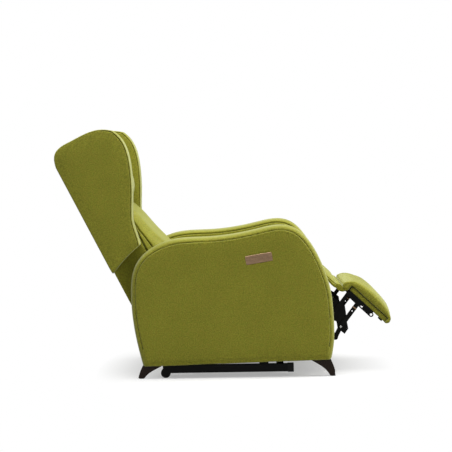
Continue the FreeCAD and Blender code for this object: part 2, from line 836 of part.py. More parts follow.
def seat_front_rail():
    """The board that the flap is hinged to. It stands on the seat rails' front ends through two cleats."""
    x1 = seat_front_x + front_rail_thickness + cut_over / 4
    x0 = x1 - front_rail_thickness
    low = front_pivot_z + eye_radius + pin_head / 2
    board = block(x0, x1, -flap_half_width, flap_half_width, low, front_rail_top)
    cleats = []
    for y0 in (plate_inner_y - seat_rail_width, -plate_inner_y):
        cleats.append(block(seat_rail_front_x, x1, y0, y0 + seat_rail_width, low, cross_line(seat_rail_front_x)))
    board = board.fuse(cleats).removeSplitter()
    barrel_y = [flap_half_width * share for share in (-0.9, -0.3, 0.3, 0.9)]
    half = hanger_width * 2
    for y in barrel_y:
        barrel = rod(flap_hinge_x, flap_hinge_z, flap_barrel_radius, y - half, y)
        leaf_x = flap_hinge_x - cushion_clearance * 2
        leaf = block(x1 - cut_over, leaf_x, y - half, y, front_rail_top - cut_over, front_rail_top)
        riser = block(leaf_x - cut_over, leaf_x, y - half, y, front_rail_top - cut_over, flap_hinge_z)
        board = board.fuse([barrel, leaf, riser])
    return board.removeSplitter()


def seat_webbing():
    """Elastic straps from the rear cross tube to the front one."""
    x0 = cross_rear_x + cross_tube / 4
    x1 = cross_front_x + cross_tube / 2
    straps = []
    for number in range(webbing_count):
        y = (number - (webbing_count - 1) / 2) * webbing_pitch
        corners = [(x, seat_underside(x) - cushion_clearance - drop) for x, drop in
                   ((x0, 0), (x1, 0), (x1, webbing_thickness), (x0, webbing_thickness))]
        straps.append(plate(corners, y - webbing_width / 2, y + webbing_width / 2))
    return group(straps)


def seat_profile(edge):
    """The seat cushion from the side: raked, crowned, with a lip over the front rail."""
    rear = seat_rear_x + edge * seat_side_draw
    lip = seat_lip_x - edge * seat_side_draw
    rear_z = seat_underside(rear)
    notch_z = front_rail_top + cushion_clearance
    crown = seat_thickness + seat_crown * (1 - edge)
    top = []
    for along, height in reversed(seat_top_shares):
        x = rear + along * (lip - rear)
        top.append((x, seat_underside(x) + height * crown))
    front_low = (lip - seat_side_draw, notch_z)
    return [[(rear, rear_z), (seat_front_x, seat_front_z)], [(seat_front_x, seat_front_z), (seat_front_x, notch_z)],
            [(seat_front_x, notch_z), front_low], [front_low] + top, [top[-1], (rear, rear_z)]]


def seat_cushion():
    return sectioned(seat_profile, seat_half_width)


# Bridge flap

def flap_profile(edge):
    crown = flap_crown - (flap_crown - flap_edge_crown) * edge
    start = flap_start
    end = flap_length
    top = shared(reversed(flap_top_shares), start, 0, end - start, crown)
    return [[(start, 0), (end, 0)], [(end, 0), top[0]], top, [top[-1], (start, 0)]]


def flap_pad():
    return on_flap(sectioned(flap_profile, flap_half_width + cut_over * 2))


def flap_panel():
    board = block(flap_start, flap_length - flap_board * 1.5, -flap_half_width, flap_half_width, -flap_board, -cushion_clearance)
    half = hanger_width * 2
    notch = (flap_start - cut_over, flap_start + flap_board * 1.5)
    for share in (-0.9, -0.3, 0.3, 0.9):
        y = flap_half_width * share + pin_clearance
        board = board.cut(block(notch[0], notch[1], y - half - cut_over, y, -flap_board - cut_over, cut_over))
        barrel = rod(0, 0, flap_barrel_radius, y, y + half)
        leaf = block(0, flap_start + flap_board * 1.5, y, y + half, -flap_barrel_radius, cut_over - flap_barrel_radius)
        board = board.fuse([barrel, leaf])
    return on_flap(board.removeSplitter())


# Footrest

def footrest_bracket():
    """An angle under the board: its web carries both joints, its flange is screwed to the board."""
    y0 = bracket_layer
    y1 = y0 + link_thickness
    top = (-bracket_pitch, bracket_rise)
    toe = (bracket_reach, 0)
    web = bar(top, (0, 0), bracket_half_width, y0, y1).fuse(bar((0, 0), toe, bracket_half_width, y0, y1))
    under = board_underside - bracket_flange_thickness
    riser = block(-bracket_pitch, bracket_reach, y0, y1, 0, board_underside)
    flange = block(-bracket_pitch, bracket_reach, y1 - bracket_flange, y1, under, board_underside)
    holes = [rod(bracket_reach * share, 0, bracket_hole_radius, y0 - cut_over, y1 + cut_over) for share in bracket_hole_shares]
    angle = web.fuse([riser, flange]).cut(holes[0]).cut(holes[1])
    pins = [headed_pin((0, 0), pin_radius, long_layer, y1), headed_pin(top, pin_radius, long_layer, y1)]
    return on_footrest(angle.fuse(pins).removeSplitter())


def footrest_board():
    top = board_underside + board_thickness
    board = block(-board_rear, board_front, -board_half_width, board_half_width, board_underside, top)
    upright = lambda edge: abs(edge.tangentAt(edge.FirstParameter).z) > 0.99
    return on_footrest(rounded_edges(board, board_thickness / 2, upright))


def footrest_profile(edge):
    """The pad from the side: a crowned top that wraps round the board's front and hangs down behind it."""
    seat = board_underside + board_thickness + cushion_clearance
    crown = pad_crown - pad_edge_drop * edge
    rear = -pad_rear + edge * cut_over
    front = pad_front - edge * cut_over
    top = [(rear + along * (front - rear), seat + height * crown) for along, height in reversed(pad_height_shares)]
    behind = -pad_behind
    before = board_front + cushion_clearance
    apron = seat - pad_apron
    rear_low = (rear + pad_apron / 4, apron)
    toe_low = (before, seat - pad_underlap)
    toe = (front - pad_underlap / 3, seat - pad_underlap)
    return [[rear_low, (behind, apron)], [(behind, apron), (behind, seat)], [(behind, seat), (before, seat)],
            [(before, seat), toe_low], [toe_low, toe], [toe] + top + [rear_low]]


def footrest_pad():
    return on_footrest(sectioned(footrest_profile, pad_half_width))


def footrest_bumpers():
    x = board_front - bumper_radius * 1.8
    bumper = Part.makeCylinder(bumper_radius, bumper_height, vector(x, bumper_y, board_underside - bumper_height))
    return on_footrest(group([bumper, mirrored(bumper)]))


# Back

def wing_chains():
    span = (wing_depth, back_height)
    curve = shared(wing_curve_shares, -wing_rear, 0, *span)
    lower = shared(wing_lower_shares, -wing_rear, 0, *span)
    return [curve, lower, [lower[-1], curve[0]]]


def wing():
    return on_back(edge_crowned(wing_chains(), back_half_width, wing_outer_y, wing_edge_inset))


def back_cover():
    """The upholstered shell behind the cushions: rear wall, two side walls, a top and a bottom."""
    outer = block(-back_rear, shell_front, -back_half_width, back_half_width, 0, back_height)
    inner = block(shell_rear_wall - back_rear, shell_front + cut_over, shell_wall - back_half_width,
                  back_half_width - shell_wall, shell_wall, back_height - shell_wall)
    outer = rounded_edges(outer, shell_top_corner, lambda edge: at_top_rear(edge, -back_rear, back_height))
    inner = rounded_edges(inner, shell_top_corner - shell_wall,
                          lambda edge: at_top_rear(edge, shell_rear_wall - back_rear, back_height - shell_wall))
    cover = outer.cut(inner)
    slot_y = plate_inner_y + plate_thickness + pin_head - bracket_slot
    slot_x = post_front - post_depth - bracket_slot
    slot = block(slot_x, shell_front + cut_over, slot_y, slot_y + plate_thickness + bracket_slot * 2,
                 -cut_over, shell_wall + cut_over)
    return on_back(cover.cut(slot).cut(mirrored(slot)))


def back_posts_y():
    outer = back_half_width - shell_wall
    return outer - post_thickness, outer


def back_post():
    y0, y1 = back_posts_y()
    return on_back(block(post_front - post_depth, post_front, y0, y1, shell_wall, back_height - post_top_gap))


def back_rails():
    y0 = back_posts_y()[0]
    rails = []
    highest = back_height - post_top_gap - back_rail_height
    for number in range(back_rail_count):
        z0 = back_rail_lowest + number * (highest - back_rail_lowest) / (back_rail_count - 1)
        rails.append(block(post_front - back_rail_depth, post_front, -y0, y0, z0, z0 + back_rail_height))
    return on_back(group(rails))


def back_bracket():
    """A steel plate from the hinge pin back to the post."""
    y0 = plate_inner_y + plate_thickness + pin_head
    y1 = y0 + plate_thickness
    post_y = back_posts_y()[0]
    foot_z = lumbar_bottom / 3
    middle = post_front - post_depth + bracket_arm_half
    arm = bar((0, 0), (middle, foot_z), bracket_arm_half, y0, y1)
    upright = bar((middle, foot_z), (middle, bracket_arm_top), bracket_arm_half, y0, y1)
    strap = block(middle - bracket_arm_half, middle + bracket_arm_half, y1, post_y, shell_wall + cut_over,
                  bracket_arm_top)
    sheet = arm.fuse([upright, strap])
    sheet = sheet.cut(rod(0, 0, hinge_pin_radius + pin_clearance, y0 - cut_over, y1 + cut_over))
    return on_back(sheet.removeSplitter())


def cushion_profile(bottom, top, shares, depth, edge_depth):
    back = shell_front + cushion_clearance

    def profile(edge):
        reach = depth - (depth - edge_depth) * edge
        low = bottom + edge * cut_over
        high = top - edge * cut_over
        front = [(back + share * reach, low + along * (high - low)) for along, share in shares]
        return [[(back, low), front[0]], front, [front[-1], (back, high)], [(back, high), (back, low)]]
    return profile


def lumbar_cushion():
    profile = cushion_profile(lumbar_bottom, lumbar_top, lumbar_front_shares, lumbar_depth, lumbar_edge_depth)
    return on_back(sectioned(profile, back_half_width - cushion_clearance))


def head_cushion():
    profile = cushion_profile(lumbar_top + cushion_split, back_height - head_top_gap, head_front_shares, head_depth, head_edge_depth)
    return on_back(sectioned(profile, back_half_width - cushion_clearance))


# Control plate

def on_switch(shape):
    return turned(shape, switch_x, switch_z, switch_angle)


def button_outline(side, grow):
    """A button's face, taller towards the end of the plate."""
    near = side * (button_pitch - button_length) / 2 - side * grow
    far = side * (button_pitch + button_length) / 2 + side * grow
    high = button_height / 2 + grow
    low = high - button_taper
    return [(near, -low), (far, -high), (far, high), (near, low)]


def switch_plate():
    y1 = -chair_half_width
    y0 = y1 - switch_thickness
    sheet = block(-switch_length / 2, switch_length / 2, y0, y1, -switch_height / 2, switch_height / 2)
    sheet = rounded_edges(sheet, switch_corner, along_y)
    rim = [edge for edge in sheet.Edges if abs(edge.CenterOfMass.y - y0) < cushion_clearance]
    sheet = sheet.makeChamfer(switch_bevel, rim)
    for side in (1, -1):
        sheet = sheet.cut(plate(button_outline(side, button_clearance), y0 - cut_over, y1 + cut_over))
    gap = (button_pitch - button_length) / 2 - button_clearance * 2
    groove = block(-gap, gap, y0 - cut_over, y0 + groove_depth, -groove_height / 2, groove_height / 2)
    return on_switch(sheet.cut(groove))


def switch_housing():
    y0 = -chair_half_width
    y1 = y0 + housing_depth
    box = block(-housing_length / 2, housing_length / 2, y0, y1, -housing_height / 2, housing_height / 2)
    for side in (1, -1):
        box = box.cut(plate(button_outline(side, button_clearance), y0 - cut_over, y0 + button_well))
    return on_switch(box)


def button(side):
    y0 = -chair_half_width - switch_thickness - button_rise
    y1 = -chair_half_width + button_well - button_travel - cushion_clearance
    return on_switch(plate(button_outline(side, 0), y0, y1))


# All pieces

def build():
    nodes = {}

    def pair(name, shape):
        nodes[name + "_left"] = shape
        nodes[name + "_right"] = mirrored(shape)

    body = arm_body()
    panel = arm_panel()
    pocket = switch_pocket()
    nodes["arm_body_left"] = body
    nodes["arm_body_right"] = mirrored(body).cut(pocket)
    nodes["arm_panel_left"] = panel
    nodes["arm_panel_right"] = mirrored(panel).cut(pocket)
    pair("foot_front", foot(front_foot_x(), front_foot_kick))
    pair("foot_rear", foot(rear_foot_x(), rear_foot_kick))
    nodes["foot_glides"] = foot_glides()

    pair("base_rail", base_rail())
    nodes["rail_end_caps"] = rail_end_caps()
    nodes["base_cross_frame"] = base_cross_frame()
    nodes["arm_brackets"] = arm_brackets()
    nodes["roller_brackets"] = group([roller_bracket(), mirrored(roller_bracket())])
    pair("roller", roller())
    pair("side_plate", side_plate())

    pair("seat_rail", seat_rail())
    nodes["seat_cross_tubes"] = group([seat_cross_tube(x) for x in (cross_rear_x, cross_front_x)])
    nodes["seat_front_rail"] = seat_front_rail()
    nodes["seat_webbing"] = seat_webbing()
    nodes["seat_cushion"] = seat_cushion()
    nodes["flap_board"] = flap_panel()
    nodes["flap_pad"] = flap_pad()

    nodes["drive_motor"] = drive_motor()
    nodes["drive_rail"] = drive_rail()
    nodes["drive_carriage"] = drive_carriage()
    nodes["power_box"] = power_box()
    nodes["torque_tube"] = torque_tube()

    pair("front_link", front_link())
    pair("rear_link", rear_link())
    pair("long_link", long_link())
    pair("upper_link", upper_link())
    pair("footrest_bracket", footrest_bracket())
    nodes["footrest_board"] = footrest_board()
    nodes["footrest_pad"] = footrest_pad()
    nodes["footrest_bumpers"] = footrest_bumpers()

    nodes["hinge_pins"] = hinge_pins()
    pair("back_bracket", back_bracket())
    pair("back_post", back_post())
    nodes["back_rails"] = back_rails()
    nodes["back_cover"] = back_cover()
    pair("wing", wing())
    nodes["lumbar_cushion"] = lumbar_cushion()
    nodes["head_cushion"] = head_cushion()

    nodes["switch_plate"] = switch_plate()
    nodes["switch_housing"] = switch_housing()
    nodes["button_open"] = button(1)
    nodes["button_close"] = button(-1)
    return nodes


os.makedirs("parts", exist_ok=True)
for node, shape in build().items():
    solids = shape.Solids
    if not solids or not shape.isValid():
        print("check", node, "solids", len(solids), "valid", shape.isValid())
    kept = solids[0] if len(solids) == 1 else Part.makeCompound(solids)
    kept.translate(vector(stand_x, 0, 0))
    kept.exportStep("parts/" + node + ".step")
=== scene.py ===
import json
import math
from itertools import groupby

import bmesh
import bpy
from bpy.props import FloatProperty, FloatVectorProperty, PointerProperty
from bpy.types import Operator, Panel, PropertyGroup
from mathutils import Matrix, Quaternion, Vector
from mathutils.bvhtree import BVHTree
from mathutils.kdtree import KDTree


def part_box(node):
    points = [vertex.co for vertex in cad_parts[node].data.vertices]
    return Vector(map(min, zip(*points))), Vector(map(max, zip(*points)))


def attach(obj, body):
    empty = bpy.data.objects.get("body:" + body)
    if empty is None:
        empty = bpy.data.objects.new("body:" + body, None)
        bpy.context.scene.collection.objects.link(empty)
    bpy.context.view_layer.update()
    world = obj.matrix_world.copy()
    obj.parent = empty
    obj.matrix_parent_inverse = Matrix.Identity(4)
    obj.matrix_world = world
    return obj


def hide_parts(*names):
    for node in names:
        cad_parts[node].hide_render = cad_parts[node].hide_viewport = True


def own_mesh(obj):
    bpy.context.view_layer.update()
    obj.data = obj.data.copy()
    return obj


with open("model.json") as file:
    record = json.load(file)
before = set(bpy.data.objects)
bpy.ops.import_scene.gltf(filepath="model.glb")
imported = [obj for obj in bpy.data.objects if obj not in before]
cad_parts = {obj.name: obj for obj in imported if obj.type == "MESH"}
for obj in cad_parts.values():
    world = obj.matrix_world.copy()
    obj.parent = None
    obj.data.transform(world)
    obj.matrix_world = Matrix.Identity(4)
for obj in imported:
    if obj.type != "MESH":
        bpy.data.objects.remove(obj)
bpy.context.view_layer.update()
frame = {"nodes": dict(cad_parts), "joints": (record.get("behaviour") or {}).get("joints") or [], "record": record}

bl_info = {
    "name": "Wing recliner",
    "version": (1, 0, 0),
    "blender": (4, 5, 0),
    "location": "View3D > Sidebar > Recliner",
    "description": "Upholstery, finishes and studio of a power recliner with wings",
    "category": "Object",
}

BODY_OF = {node: body for body, nodes in frame["record"]["behaviour"]["bodies"].items() for node in nodes}
SIDES = ("left", "right")
MM = 0.001


def pivot(name):
    """Where a joint's axis passes, in metres."""
    return next(joint for joint in frame["joints"] if joint["name"] == name)["pos_m"]


# Tilts of the back, the footrest, the bridge flap, the long links and the fold's line
RECLINE = math.radians(27.0)
FOOTREST_TILT = math.radians(-43.0)
BRIDGE_TILT = math.radians(-43.0)
LONG_LINK_RISE = math.radians(53.0)

# Cells of the meshes: firm covers, trim, the bridge and the footrest board
FIRM_CELLS = 5 * MM
TRIM_CELLS = 3 * MM
BRIDGE_CELLS = 3.5 * MM
BOARD_CELLS = 4 * MM

# How far the filling may push a cover out, the solver's frames, the step of a seam's points, the width of its valley,
# and within how many widths of it the mesh is made finer
CUSHION_SWELL = 9 * MM
PAD_SWELL = 4 * MM
FILLING_FRAMES = 20
SEAM_STEP = 3 * MM
SEAM_WIDTH = 5.5 * MM
FINER_WITHIN = (2.6, 1.8)

# Arms and wings: the domes of their faces, how far in these rise, and the height at which the arms' seams end
ARM_DOME = 2.5 * MM
WING_DOME = 3 * MM
DOME_REACH = 60 * MM
ARM_SEAM_FOOT = 0.115

# Wings: the rounding's width and depth, the seams' outset, width and easing, the rear tucks' depth and width, and the
# points by which the tucks stop short
WING_CROWN = (14 * MM, 40 * MM)
WING_SEAM_OUTSET = 9.5 * MM
WING_SEAM_WIDTH = 4 * MM
WING_SEAM_ROUNDS = 8
WING_TUCK = (1.5 * MM, 5 * MM)
WING_TUCK_SHORT = 10

# The wings' front edge in metres ahead of the recline hinge and up the back, and how far its easing reaches
WING_FRONT_AHEAD = -0.05
WING_FRONT_UP = (0.225, 0.66)
WING_FRONT_ROUNDS = 260
WING_EASING_REACH = 70 * MM

# Back: the liner as (ahead, up) of the recline hinge in millimetres. The head pillow's front lies HEAD_FRONT ahead of
# the hinge, and below HEAD_TUCK_TOP it draws back by HEAD_TUCK over HEAD_TUCK_HEIGHT, all in metres.
HINGE = pivot("back_recline")
FORWARD = Vector((math.cos(RECLINE), 0.0, math.sin(RECLINE)))
BACK_LINER = ((-69, 14), (-56, 14), (-56, 698), (-69, 698))
BACK_LINER_HALF_WIDTH = 245 * MM
HEAD_FRONT = 0.022
HEAD_TUCK = 0.040
HEAD_TUCK_TOP = 0.5
HEAD_TUCK_HEIGHT = 0.097

# Seat lip as (x, z) in millimetres
SEAT_LIP = ((340, 428.6), (369, 428.6), (372.5, 431), (371, 435), (364, 438.5), (354, 440), (340, 440))
SEAT_LIP_HALF_WIDTH = 240 * MM

# Bridge: skirts as (ahead, up) of the flap's hinge and the fold's outlines as (x, z), in millimetres. The cover's sides
# droop, with a soft (start, width) in metres across the chair, ahead of the hinge and above its plane.
BRIDGE_HINGE = pivot("bridge_flap")
BRIDGE_WRAP_FROM = (0.394, 0.0, 0.391)
BRIDGE_WRAP_THICKNESS = 2.5 * MM
BRIDGE_SKIRT = ((30, 4), (30, -8), (60, -14), (100, -17), (116, -15), (113, 4))
SKIRT_AT = 238 * MM
SKIRT_HALF_THICKNESS = 5 * MM
BRIDGE_DROOP = 9 * MM
DROOP_BESIDE = (0.185, 0.055)
DROOP_AHEAD = (0.012, 0.02)
DROOP_ABOVE = (-0.008, 0.012)
BRIDGE_FOLD = ((441, 355), (436, 345), (442, 333), (452, 324), (464, 319.5), (475, 321), (486, 327), (495, 332),
               (491, 337), (478, 336), (469, 340), (463, 347), (453, 353))
FOLD_HALF_WIDTH = 200 * MM
FOLD_SKIN = ((441, 355), (438.5, 350), (449, 347), (457.5, 341.5), (464.5, 333.5), (476, 330.5), (494, 333),
             (491, 337), (478, 336), (469, 340), (463, 347), (453, 353))
FOLD_SKIN_HALF_WIDTH = 240 * MM
FOLD_END_AT = 238.5 * MM
FOLD_END_HALF_THICKNESS = 3 * MM

# Footrest and linkage: the cloth on pad and board, by which a gap parts them, the pad's crown, and the long link's
# sleeve, which stands SLEEVE_OUT outside the middle of the upper link
FOOTREST_CLOTH = 1.5 * MM
FOOTREST_CROWN = 5 * MM
FOOTREST_CROWN_X = 0.492
FOOTREST_CROWN_SPREAD = 38 * MM
SLEEVE_AT = (513.6, 254.5)
SLEEVE_SIZE = (5 * MM, 5.7 * MM, 19.5 * MM)
SLEEVE_OUT = 0.35 * MM
RIVET_PROFILE = ((0.0, 1.3), (1.2, 1.4), (2.2, 2.3), (3.6, 2.1), (4.8, 1.2), (5.2, 0.0), (0.0, 0.0))


# Settings

def colour_setting(name, description, default):
    return FloatVectorProperty(name=name, description=description, subtype="COLOR", size=3, min=0.0, max=1.0,
                               default=default)


def length_setting(name, description, low, high, default):
    return FloatProperty(name=name, description=description, subtype="DISTANCE", min=low, max=high, default=default)


def place_setting(name, description, default):
    return FloatVectorProperty(name=name, description=description, subtype="TRANSLATION", size=3, default=default)


def power_setting(name, description, default):
    return FloatProperty(name=name, description=description, subtype="POWER", default=default)


class UpholsterySettings(PropertyGroup):
    """The cover cloth, its padding and its seams."""
    felt: colour_setting("Felt", "Colour of the wool felt", (0.262, 0.236, 0.025))
    felt_fleck: colour_setting("Felt fleck", "Colour of the paler fibres", (0.44, 0.42, 0.085))
    # Painted shade: the dark colour of the cord sunk in the seams stands for the shade in their valleys.
    painted_seam_shade: colour_setting("Thread", "Colour of the seam thread", (0.050, 0.046, 0.007))
    voxel: length_setting("Mesh step", "Size of the cells that the padding is meshed with", 0.003, 0.02, 0.006)
    cushion_step: length_setting("Cushion mesh step", "Size of the cells of the seat and back cushions",
                                 0.003, 0.02, 0.0075)
    pressure: FloatProperty(name="Filling pressure", description="How hard the filling pushes the cover out",
                            min=0.0, max=20.0, default=4.0)
    # The cord of this radius carries the painted shade of the seams.
    seam: length_setting("Seam thread", "Radius of the thread that lies in a seam", 0.0003, 0.003, 0.0012)
    seam_depth: length_setting("Seam depth", "How deep a seam draws the cover in", 0.0, 0.01, 0.0042)


class FinishSettings(PropertyGroup):
    """The colours of the hard parts."""
    copper: colour_setting("Control plate", "Colour of the control plate's metal", (0.345, 0.225, 0.139))
    steel: colour_setting("Steel coat", "Colour of the powder coat", (0.0022, 0.0022, 0.0021))
    zinc: colour_setting("Rivets", "Colour of the zinc-plated rivets and pins", (0.50, 0.51, 0.52))
    wood: colour_setting("Feet", "Colour of the dark wooden feet", (0.023, 0.0125, 0.0078))
    plywood: colour_setting("Frame wood", "Colour of the frame's bare plywood", (0.52, 0.36, 0.20))
    plastic: colour_setting("Plastic", "Colour of the caps and housings", (0.0035, 0.0035, 0.0035))


class StageSettings(PropertyGroup):
    """Camera, floor and lamps."""
    eye: place_setting("Eye", "Where the camera stands", (0.0683, -7.3267, 0.9008))
    target: place_setting("Target", "What the camera looks at", (0.0086, -0.3337, 0.5932))
    roll: FloatProperty(name="Roll", description="How far the camera leans clockwise", subtype="ANGLE",
                        default=math.radians(0.951))
    lens: FloatProperty(name="Lens", description="Focal length in millimetres", min=10.0, max=500.0, default=142.29)
    floor: colour_setting("Floor", "Colour of the floor", (0.90, 0.90, 0.90))
    key: power_setting("Key lamp", "Power of the large lamp above", 143.0)
    fill: power_setting("Fill lamp", "Power of the lamp beside the camera", 23.0)
    side: power_setting("Side lamp", "Power of the lamp beyond the footrest", 84.0)
    ambient: FloatProperty(name="Room light", description="Strength of the light from all round", default=0.33)


# Node trees

class Tree:
    """Adds nodes to a node tree and links them by what is given for each input."""

    def __init__(self, tree):
        self.tree = tree

    def add(self, kind, inputs=None, **options):
        node = self.tree.nodes.new("ShaderNode" + kind)
        for name, value in options.items():
            setattr(node, name, value)
        for key, value in (inputs or {}).items():
            self.feed(node.inputs[key], value)
        return node

    def feed(self, socket, value):
        if isinstance(value, bpy.types.NodeSocket):
            self.tree.links.new(value, socket)
        else:
            socket.default_value = value

    def noise(self, vector, scale, detail=2.0, roughness=0.5, distortion=0.0):
        return self.add("TexNoise", {"Vector": vector, "Scale": scale, "Detail": detail, "Roughness": roughness,
                                     "Distortion": distortion}).outputs["Fac"]

    def math(self, operation, a, b):
        return self.add("Math", {0: a, 1: b}, operation=operation).outputs[0]

    def spread(self, value, low, high, to_low=0.0, to_high=1.0):
        return self.add("MapRange", {"Value": value, "From Min": low, "From Max": high, "To Min": to_low,
                                     "To Max": to_high}).outputs["Result"]

    def mix(self, factor, a, b, blend="MIX"):
        return self.add("Mix", {0: factor, 6: a, 7: b}, data_type="RGBA", blend_type=blend).outputs[2]

    def place(self, vector, scale=(1.0, 1.0, 1.0), turn=(0.0, 0.0, 0.0)):
        return self.add("Mapping", {"Vector": vector, "Rotation": turn, "Scale": scale}).outputs[0]

    def scaled(self, given):
        """An effect's Vector times its Scale."""
        return self.add("VectorMath", {0: given["Vector"], "Scale": given["Scale"]}, operation="SCALE").outputs[0]

    def shaded(self, tone, shade):
        """A colour times a grey value."""
        grey = self.add("CombineColor", {0: shade, 1: shade, 2: shade}).outputs[0]
        return self.mix(1.0, tone, grey, "MULTIPLY")


def effect(name, colour, *more):
    """A new shader node group with a vector, a colour and more inputs, which are (name, kind, default)."""
    group = bpy.data.node_groups.new(name, "ShaderNodeTree")
    for label, kind, default in (("Vector", "Vector", None), ("Colour", "Color", colour), *more):
        socket = group.interface.new_socket(name=label, in_out="INPUT", socket_type="NodeSocket" + kind)
        if default is not None:
            socket.default_value = default
    for label, kind in (("Colour", "Color"), ("Height", "Float"), ("Roughness", "Float")):
        group.interface.new_socket(name=label, in_out="OUTPUT", socket_type="NodeSocket" + kind)
    return Tree(group), group.nodes.new("NodeGroupInput").outputs


def put_out(tree, *results):
    """Links an effect's colour, height and roughness to its outputs."""
    end = tree.tree.nodes.new("NodeGroupOutput")
    for name, result in zip(("Colour", "Height", "Roughness"), results):
        tree.feed(end.inputs[name], result)
    return tree.tree


def bare_tree(owner):
    """The emptied node tree of a new material or world."""
    owner.use_nodes = True
    owner.node_tree.nodes.clear()
    return Tree(owner.node_tree)


def felt_effect():
    """Matted wool: soft clouds of tone, pale flecks, and short crossing fibres that stand up."""
    tree, given = effect("Matted fibres", (0.3, 0.3, 0.1, 1.0), ("Fleck", "Color", (0.5, 0.5, 0.2, 1.0)),
                         ("Scale", "Float", 1.0))
    vector = tree.scaled(given)
    cloud = tree.noise(vector, 9.0, 3.0, 0.6)
    tuft = tree.noise(vector, 225.0, 3.0, 0.7)
    hue = tree.noise(vector, 150.0, 2.0, 0.6)
    fleck = tree.noise(vector, 420.0, 4.0, 0.75)
    strands = [tree.noise(tree.place(vector, scale, turn), 560.0, 2.0, 0.6, 0.8)
               for scale, turn in (((1.0, 0.22, 1.0), (0.3, 0.2, 0.5)), ((0.22, 1.0, 1.0), (0.9, 0.4, 0.2)),
                                   ((1.0, 1.0, 0.22), (0.1, 0.7, 1.1)))]
    fibre = tree.math("MAXIMUM", tree.math("MAXIMUM", strands[0], strands[1]), strands[2])
    pale = tree.math("MULTIPLY", tree.spread(fibre, 0.50, 0.78), tree.spread(fleck, 0.38, 0.66))
    tone = tree.mix(tree.math("MULTIPLY", pale, 0.55), given["Colour"], given["Fleck"])
    dark = tree.spread(fleck, 0.25, 0.5, 0.80, 1.0)
    shade = tree.math("MULTIPLY", tree.spread(cloud, 0.3, 0.7, 0.95, 1.04), dark)
    shade = tree.math("MULTIPLY", shade, tree.spread(tuft, 0.34, 0.66, 0.70, 1.28))
    greener = tree.mix(1.0, tone, (0.90, 1.03, 0.92, 1.0), "MULTIPLY")
    tone = tree.mix(tree.spread(hue, 0.35, 0.65), tone, greener)
    tone = tree.shaded(tone, shade)
    height = tree.math("ADD", tree.math("MULTIPLY", fibre, 0.7), tree.math("MULTIPLY", fleck, 0.3))
    return put_out(tree, tone, height, tree.spread(fleck, 0.3, 0.7, 0.82, 0.96))


def grain_effect():
    """Wood: long pores and year rings along the piece's Z."""
    tree, given = effect("Wood grain", (0.1, 0.05, 0.02, 1.0), ("Contrast", "Float", 0.5), ("Scale", "Float", 1.0))
    vector = tree.scaled(given)
    long = tree.place(vector, (1.0, 1.0, 0.06))
    bend = tree.noise(tree.place(vector, (1.0, 1.0, 0.3)), 9.0, 2.0)
    rings = tree.add("TexWave", {"Vector": long, "Scale": 45.0, "Distortion": 6.0, "Detail": 3.0, "Detail Scale": 2.0,
                                 "Phase Offset": bend}, wave_type="BANDS", bands_direction="X").outputs["Fac"]
    pores = tree.noise(long, 700.0, 3.0, 0.7)
    amount = tree.math("MULTIPLY", tree.math("SUBTRACT", 1.0, rings), given["Contrast"])
    shade = tree.math("SUBTRACT", 1.0, amount)
    shade = tree.math("MULTIPLY", shade, tree.spread(pores, 0.35, 0.6, 0.72, 1.12))
    tone = tree.shaded(given["Colour"], shade)
    height = tree.math("ADD", tree.spread(pores, 0.3, 0.6), tree.math("MULTIPLY", rings, 0.3))
    return put_out(tree, tone, height, tree.spread(pores, 0.3, 0.7, 0.52, 0.36))


def pebble_effect():
    """Powder coat, moulded plastic and rubber: fine pebbles, faint dust and rubbed tone."""
    tree, given = effect("Pebbled coat", (0.02, 0.02, 0.02, 1.0), ("Scale", "Float", 1.0), ("Dust", "Float", 0.1),
                         ("Roughness", "Float", 0.4))
    vector = tree.scaled(given)
    pebble = tree.noise(vector, 900.0, 2.0, 0.5)
    smear = tree.noise(vector, 18.0, 4.0, 0.65)
    dust = tree.math("MULTIPLY", tree.spread(smear, 0.45, 0.8), given["Dust"])
    tone = tree.mix(dust, given["Colour"], (0.28, 0.27, 0.25, 1.0))
    rough = tree.math("ADD", given["Roughness"], tree.spread(smear, 0.3, 0.8, -0.06, 0.12))
    return put_out(tree, tone, pebble, rough)


def brushed_effect():
    """Metal brushed along X: fine scratches, longer streaks, and a dulled tone in patches."""
    tree, given = effect("Brushed metal", (0.5, 0.4, 0.3, 1.0), ("Roughness", "Float", 0.35),
                         ("Streak", "Float", 0.3))
    fine = tree.noise(tree.place(given["Vector"], (0.03, 1.0, 1.0)), 2600.0, 2.0, 0.6)
    streak = tree.noise(tree.place(given["Vector"], (0.05, 1.0, 1.0)), 380.0, 3.0, 0.6)
    patch = tree.noise(given["Vector"], 30.0, 3.0, 0.6)
    shade = tree.math("SUBTRACT", 1.1, tree.math("MULTIPLY", tree.spread(streak, 0.3, 0.7), given["Streak"]))
    shade = tree.math("MULTIPLY", shade, tree.spread(patch, 0.3, 0.7, 0.92, 1.04))
    tone = tree.shaded(given["Colour"], shade)
    height = tree.math("ADD", fine, tree.math("MULTIPLY", streak, 0.5))
    rough = tree.math("ADD", given["Roughness"], tree.spread(fine, 0.3, 0.7, -0.08, 0.10))
    return put_out(tree, tone, height, rough)


def webbing_effect():
    """Elastic webbing: ribs across the strap and stripes along it."""
    tree, given = effect("Woven strap", (0.05, 0.05, 0.05, 1.0))
    ribs = tree.add("TexWave", {"Vector": given["Vector"], "Scale": 130.0, "Distortion": 0.4, "Detail": 1.0},
                    wave_type="BANDS", bands_direction="X").outputs["Fac"]
    lines = tree.add("TexWave", {"Vector": given["Vector"], "Scale": 40.0, "Distortion": 0.1},
                     wave_type="BANDS", bands_direction="Y").outputs["Fac"]
    tone = tree.mix(tree.spread(lines, 0.86, 0.94), given["Colour"], (0.24, 0.24, 0.22, 1.0))
    tone = tree.mix(tree.spread(ribs, 0.0, 0.5, 0.55, 0.0), tone, (0.008, 0.008, 0.008, 1.0))
    height = tree.math("ADD", ribs, tree.math("MULTIPLY", lines, 0.4))
    return put_out(tree, tone, height, tree.spread(ribs, 0.0, 1.0, 0.88, 0.7))


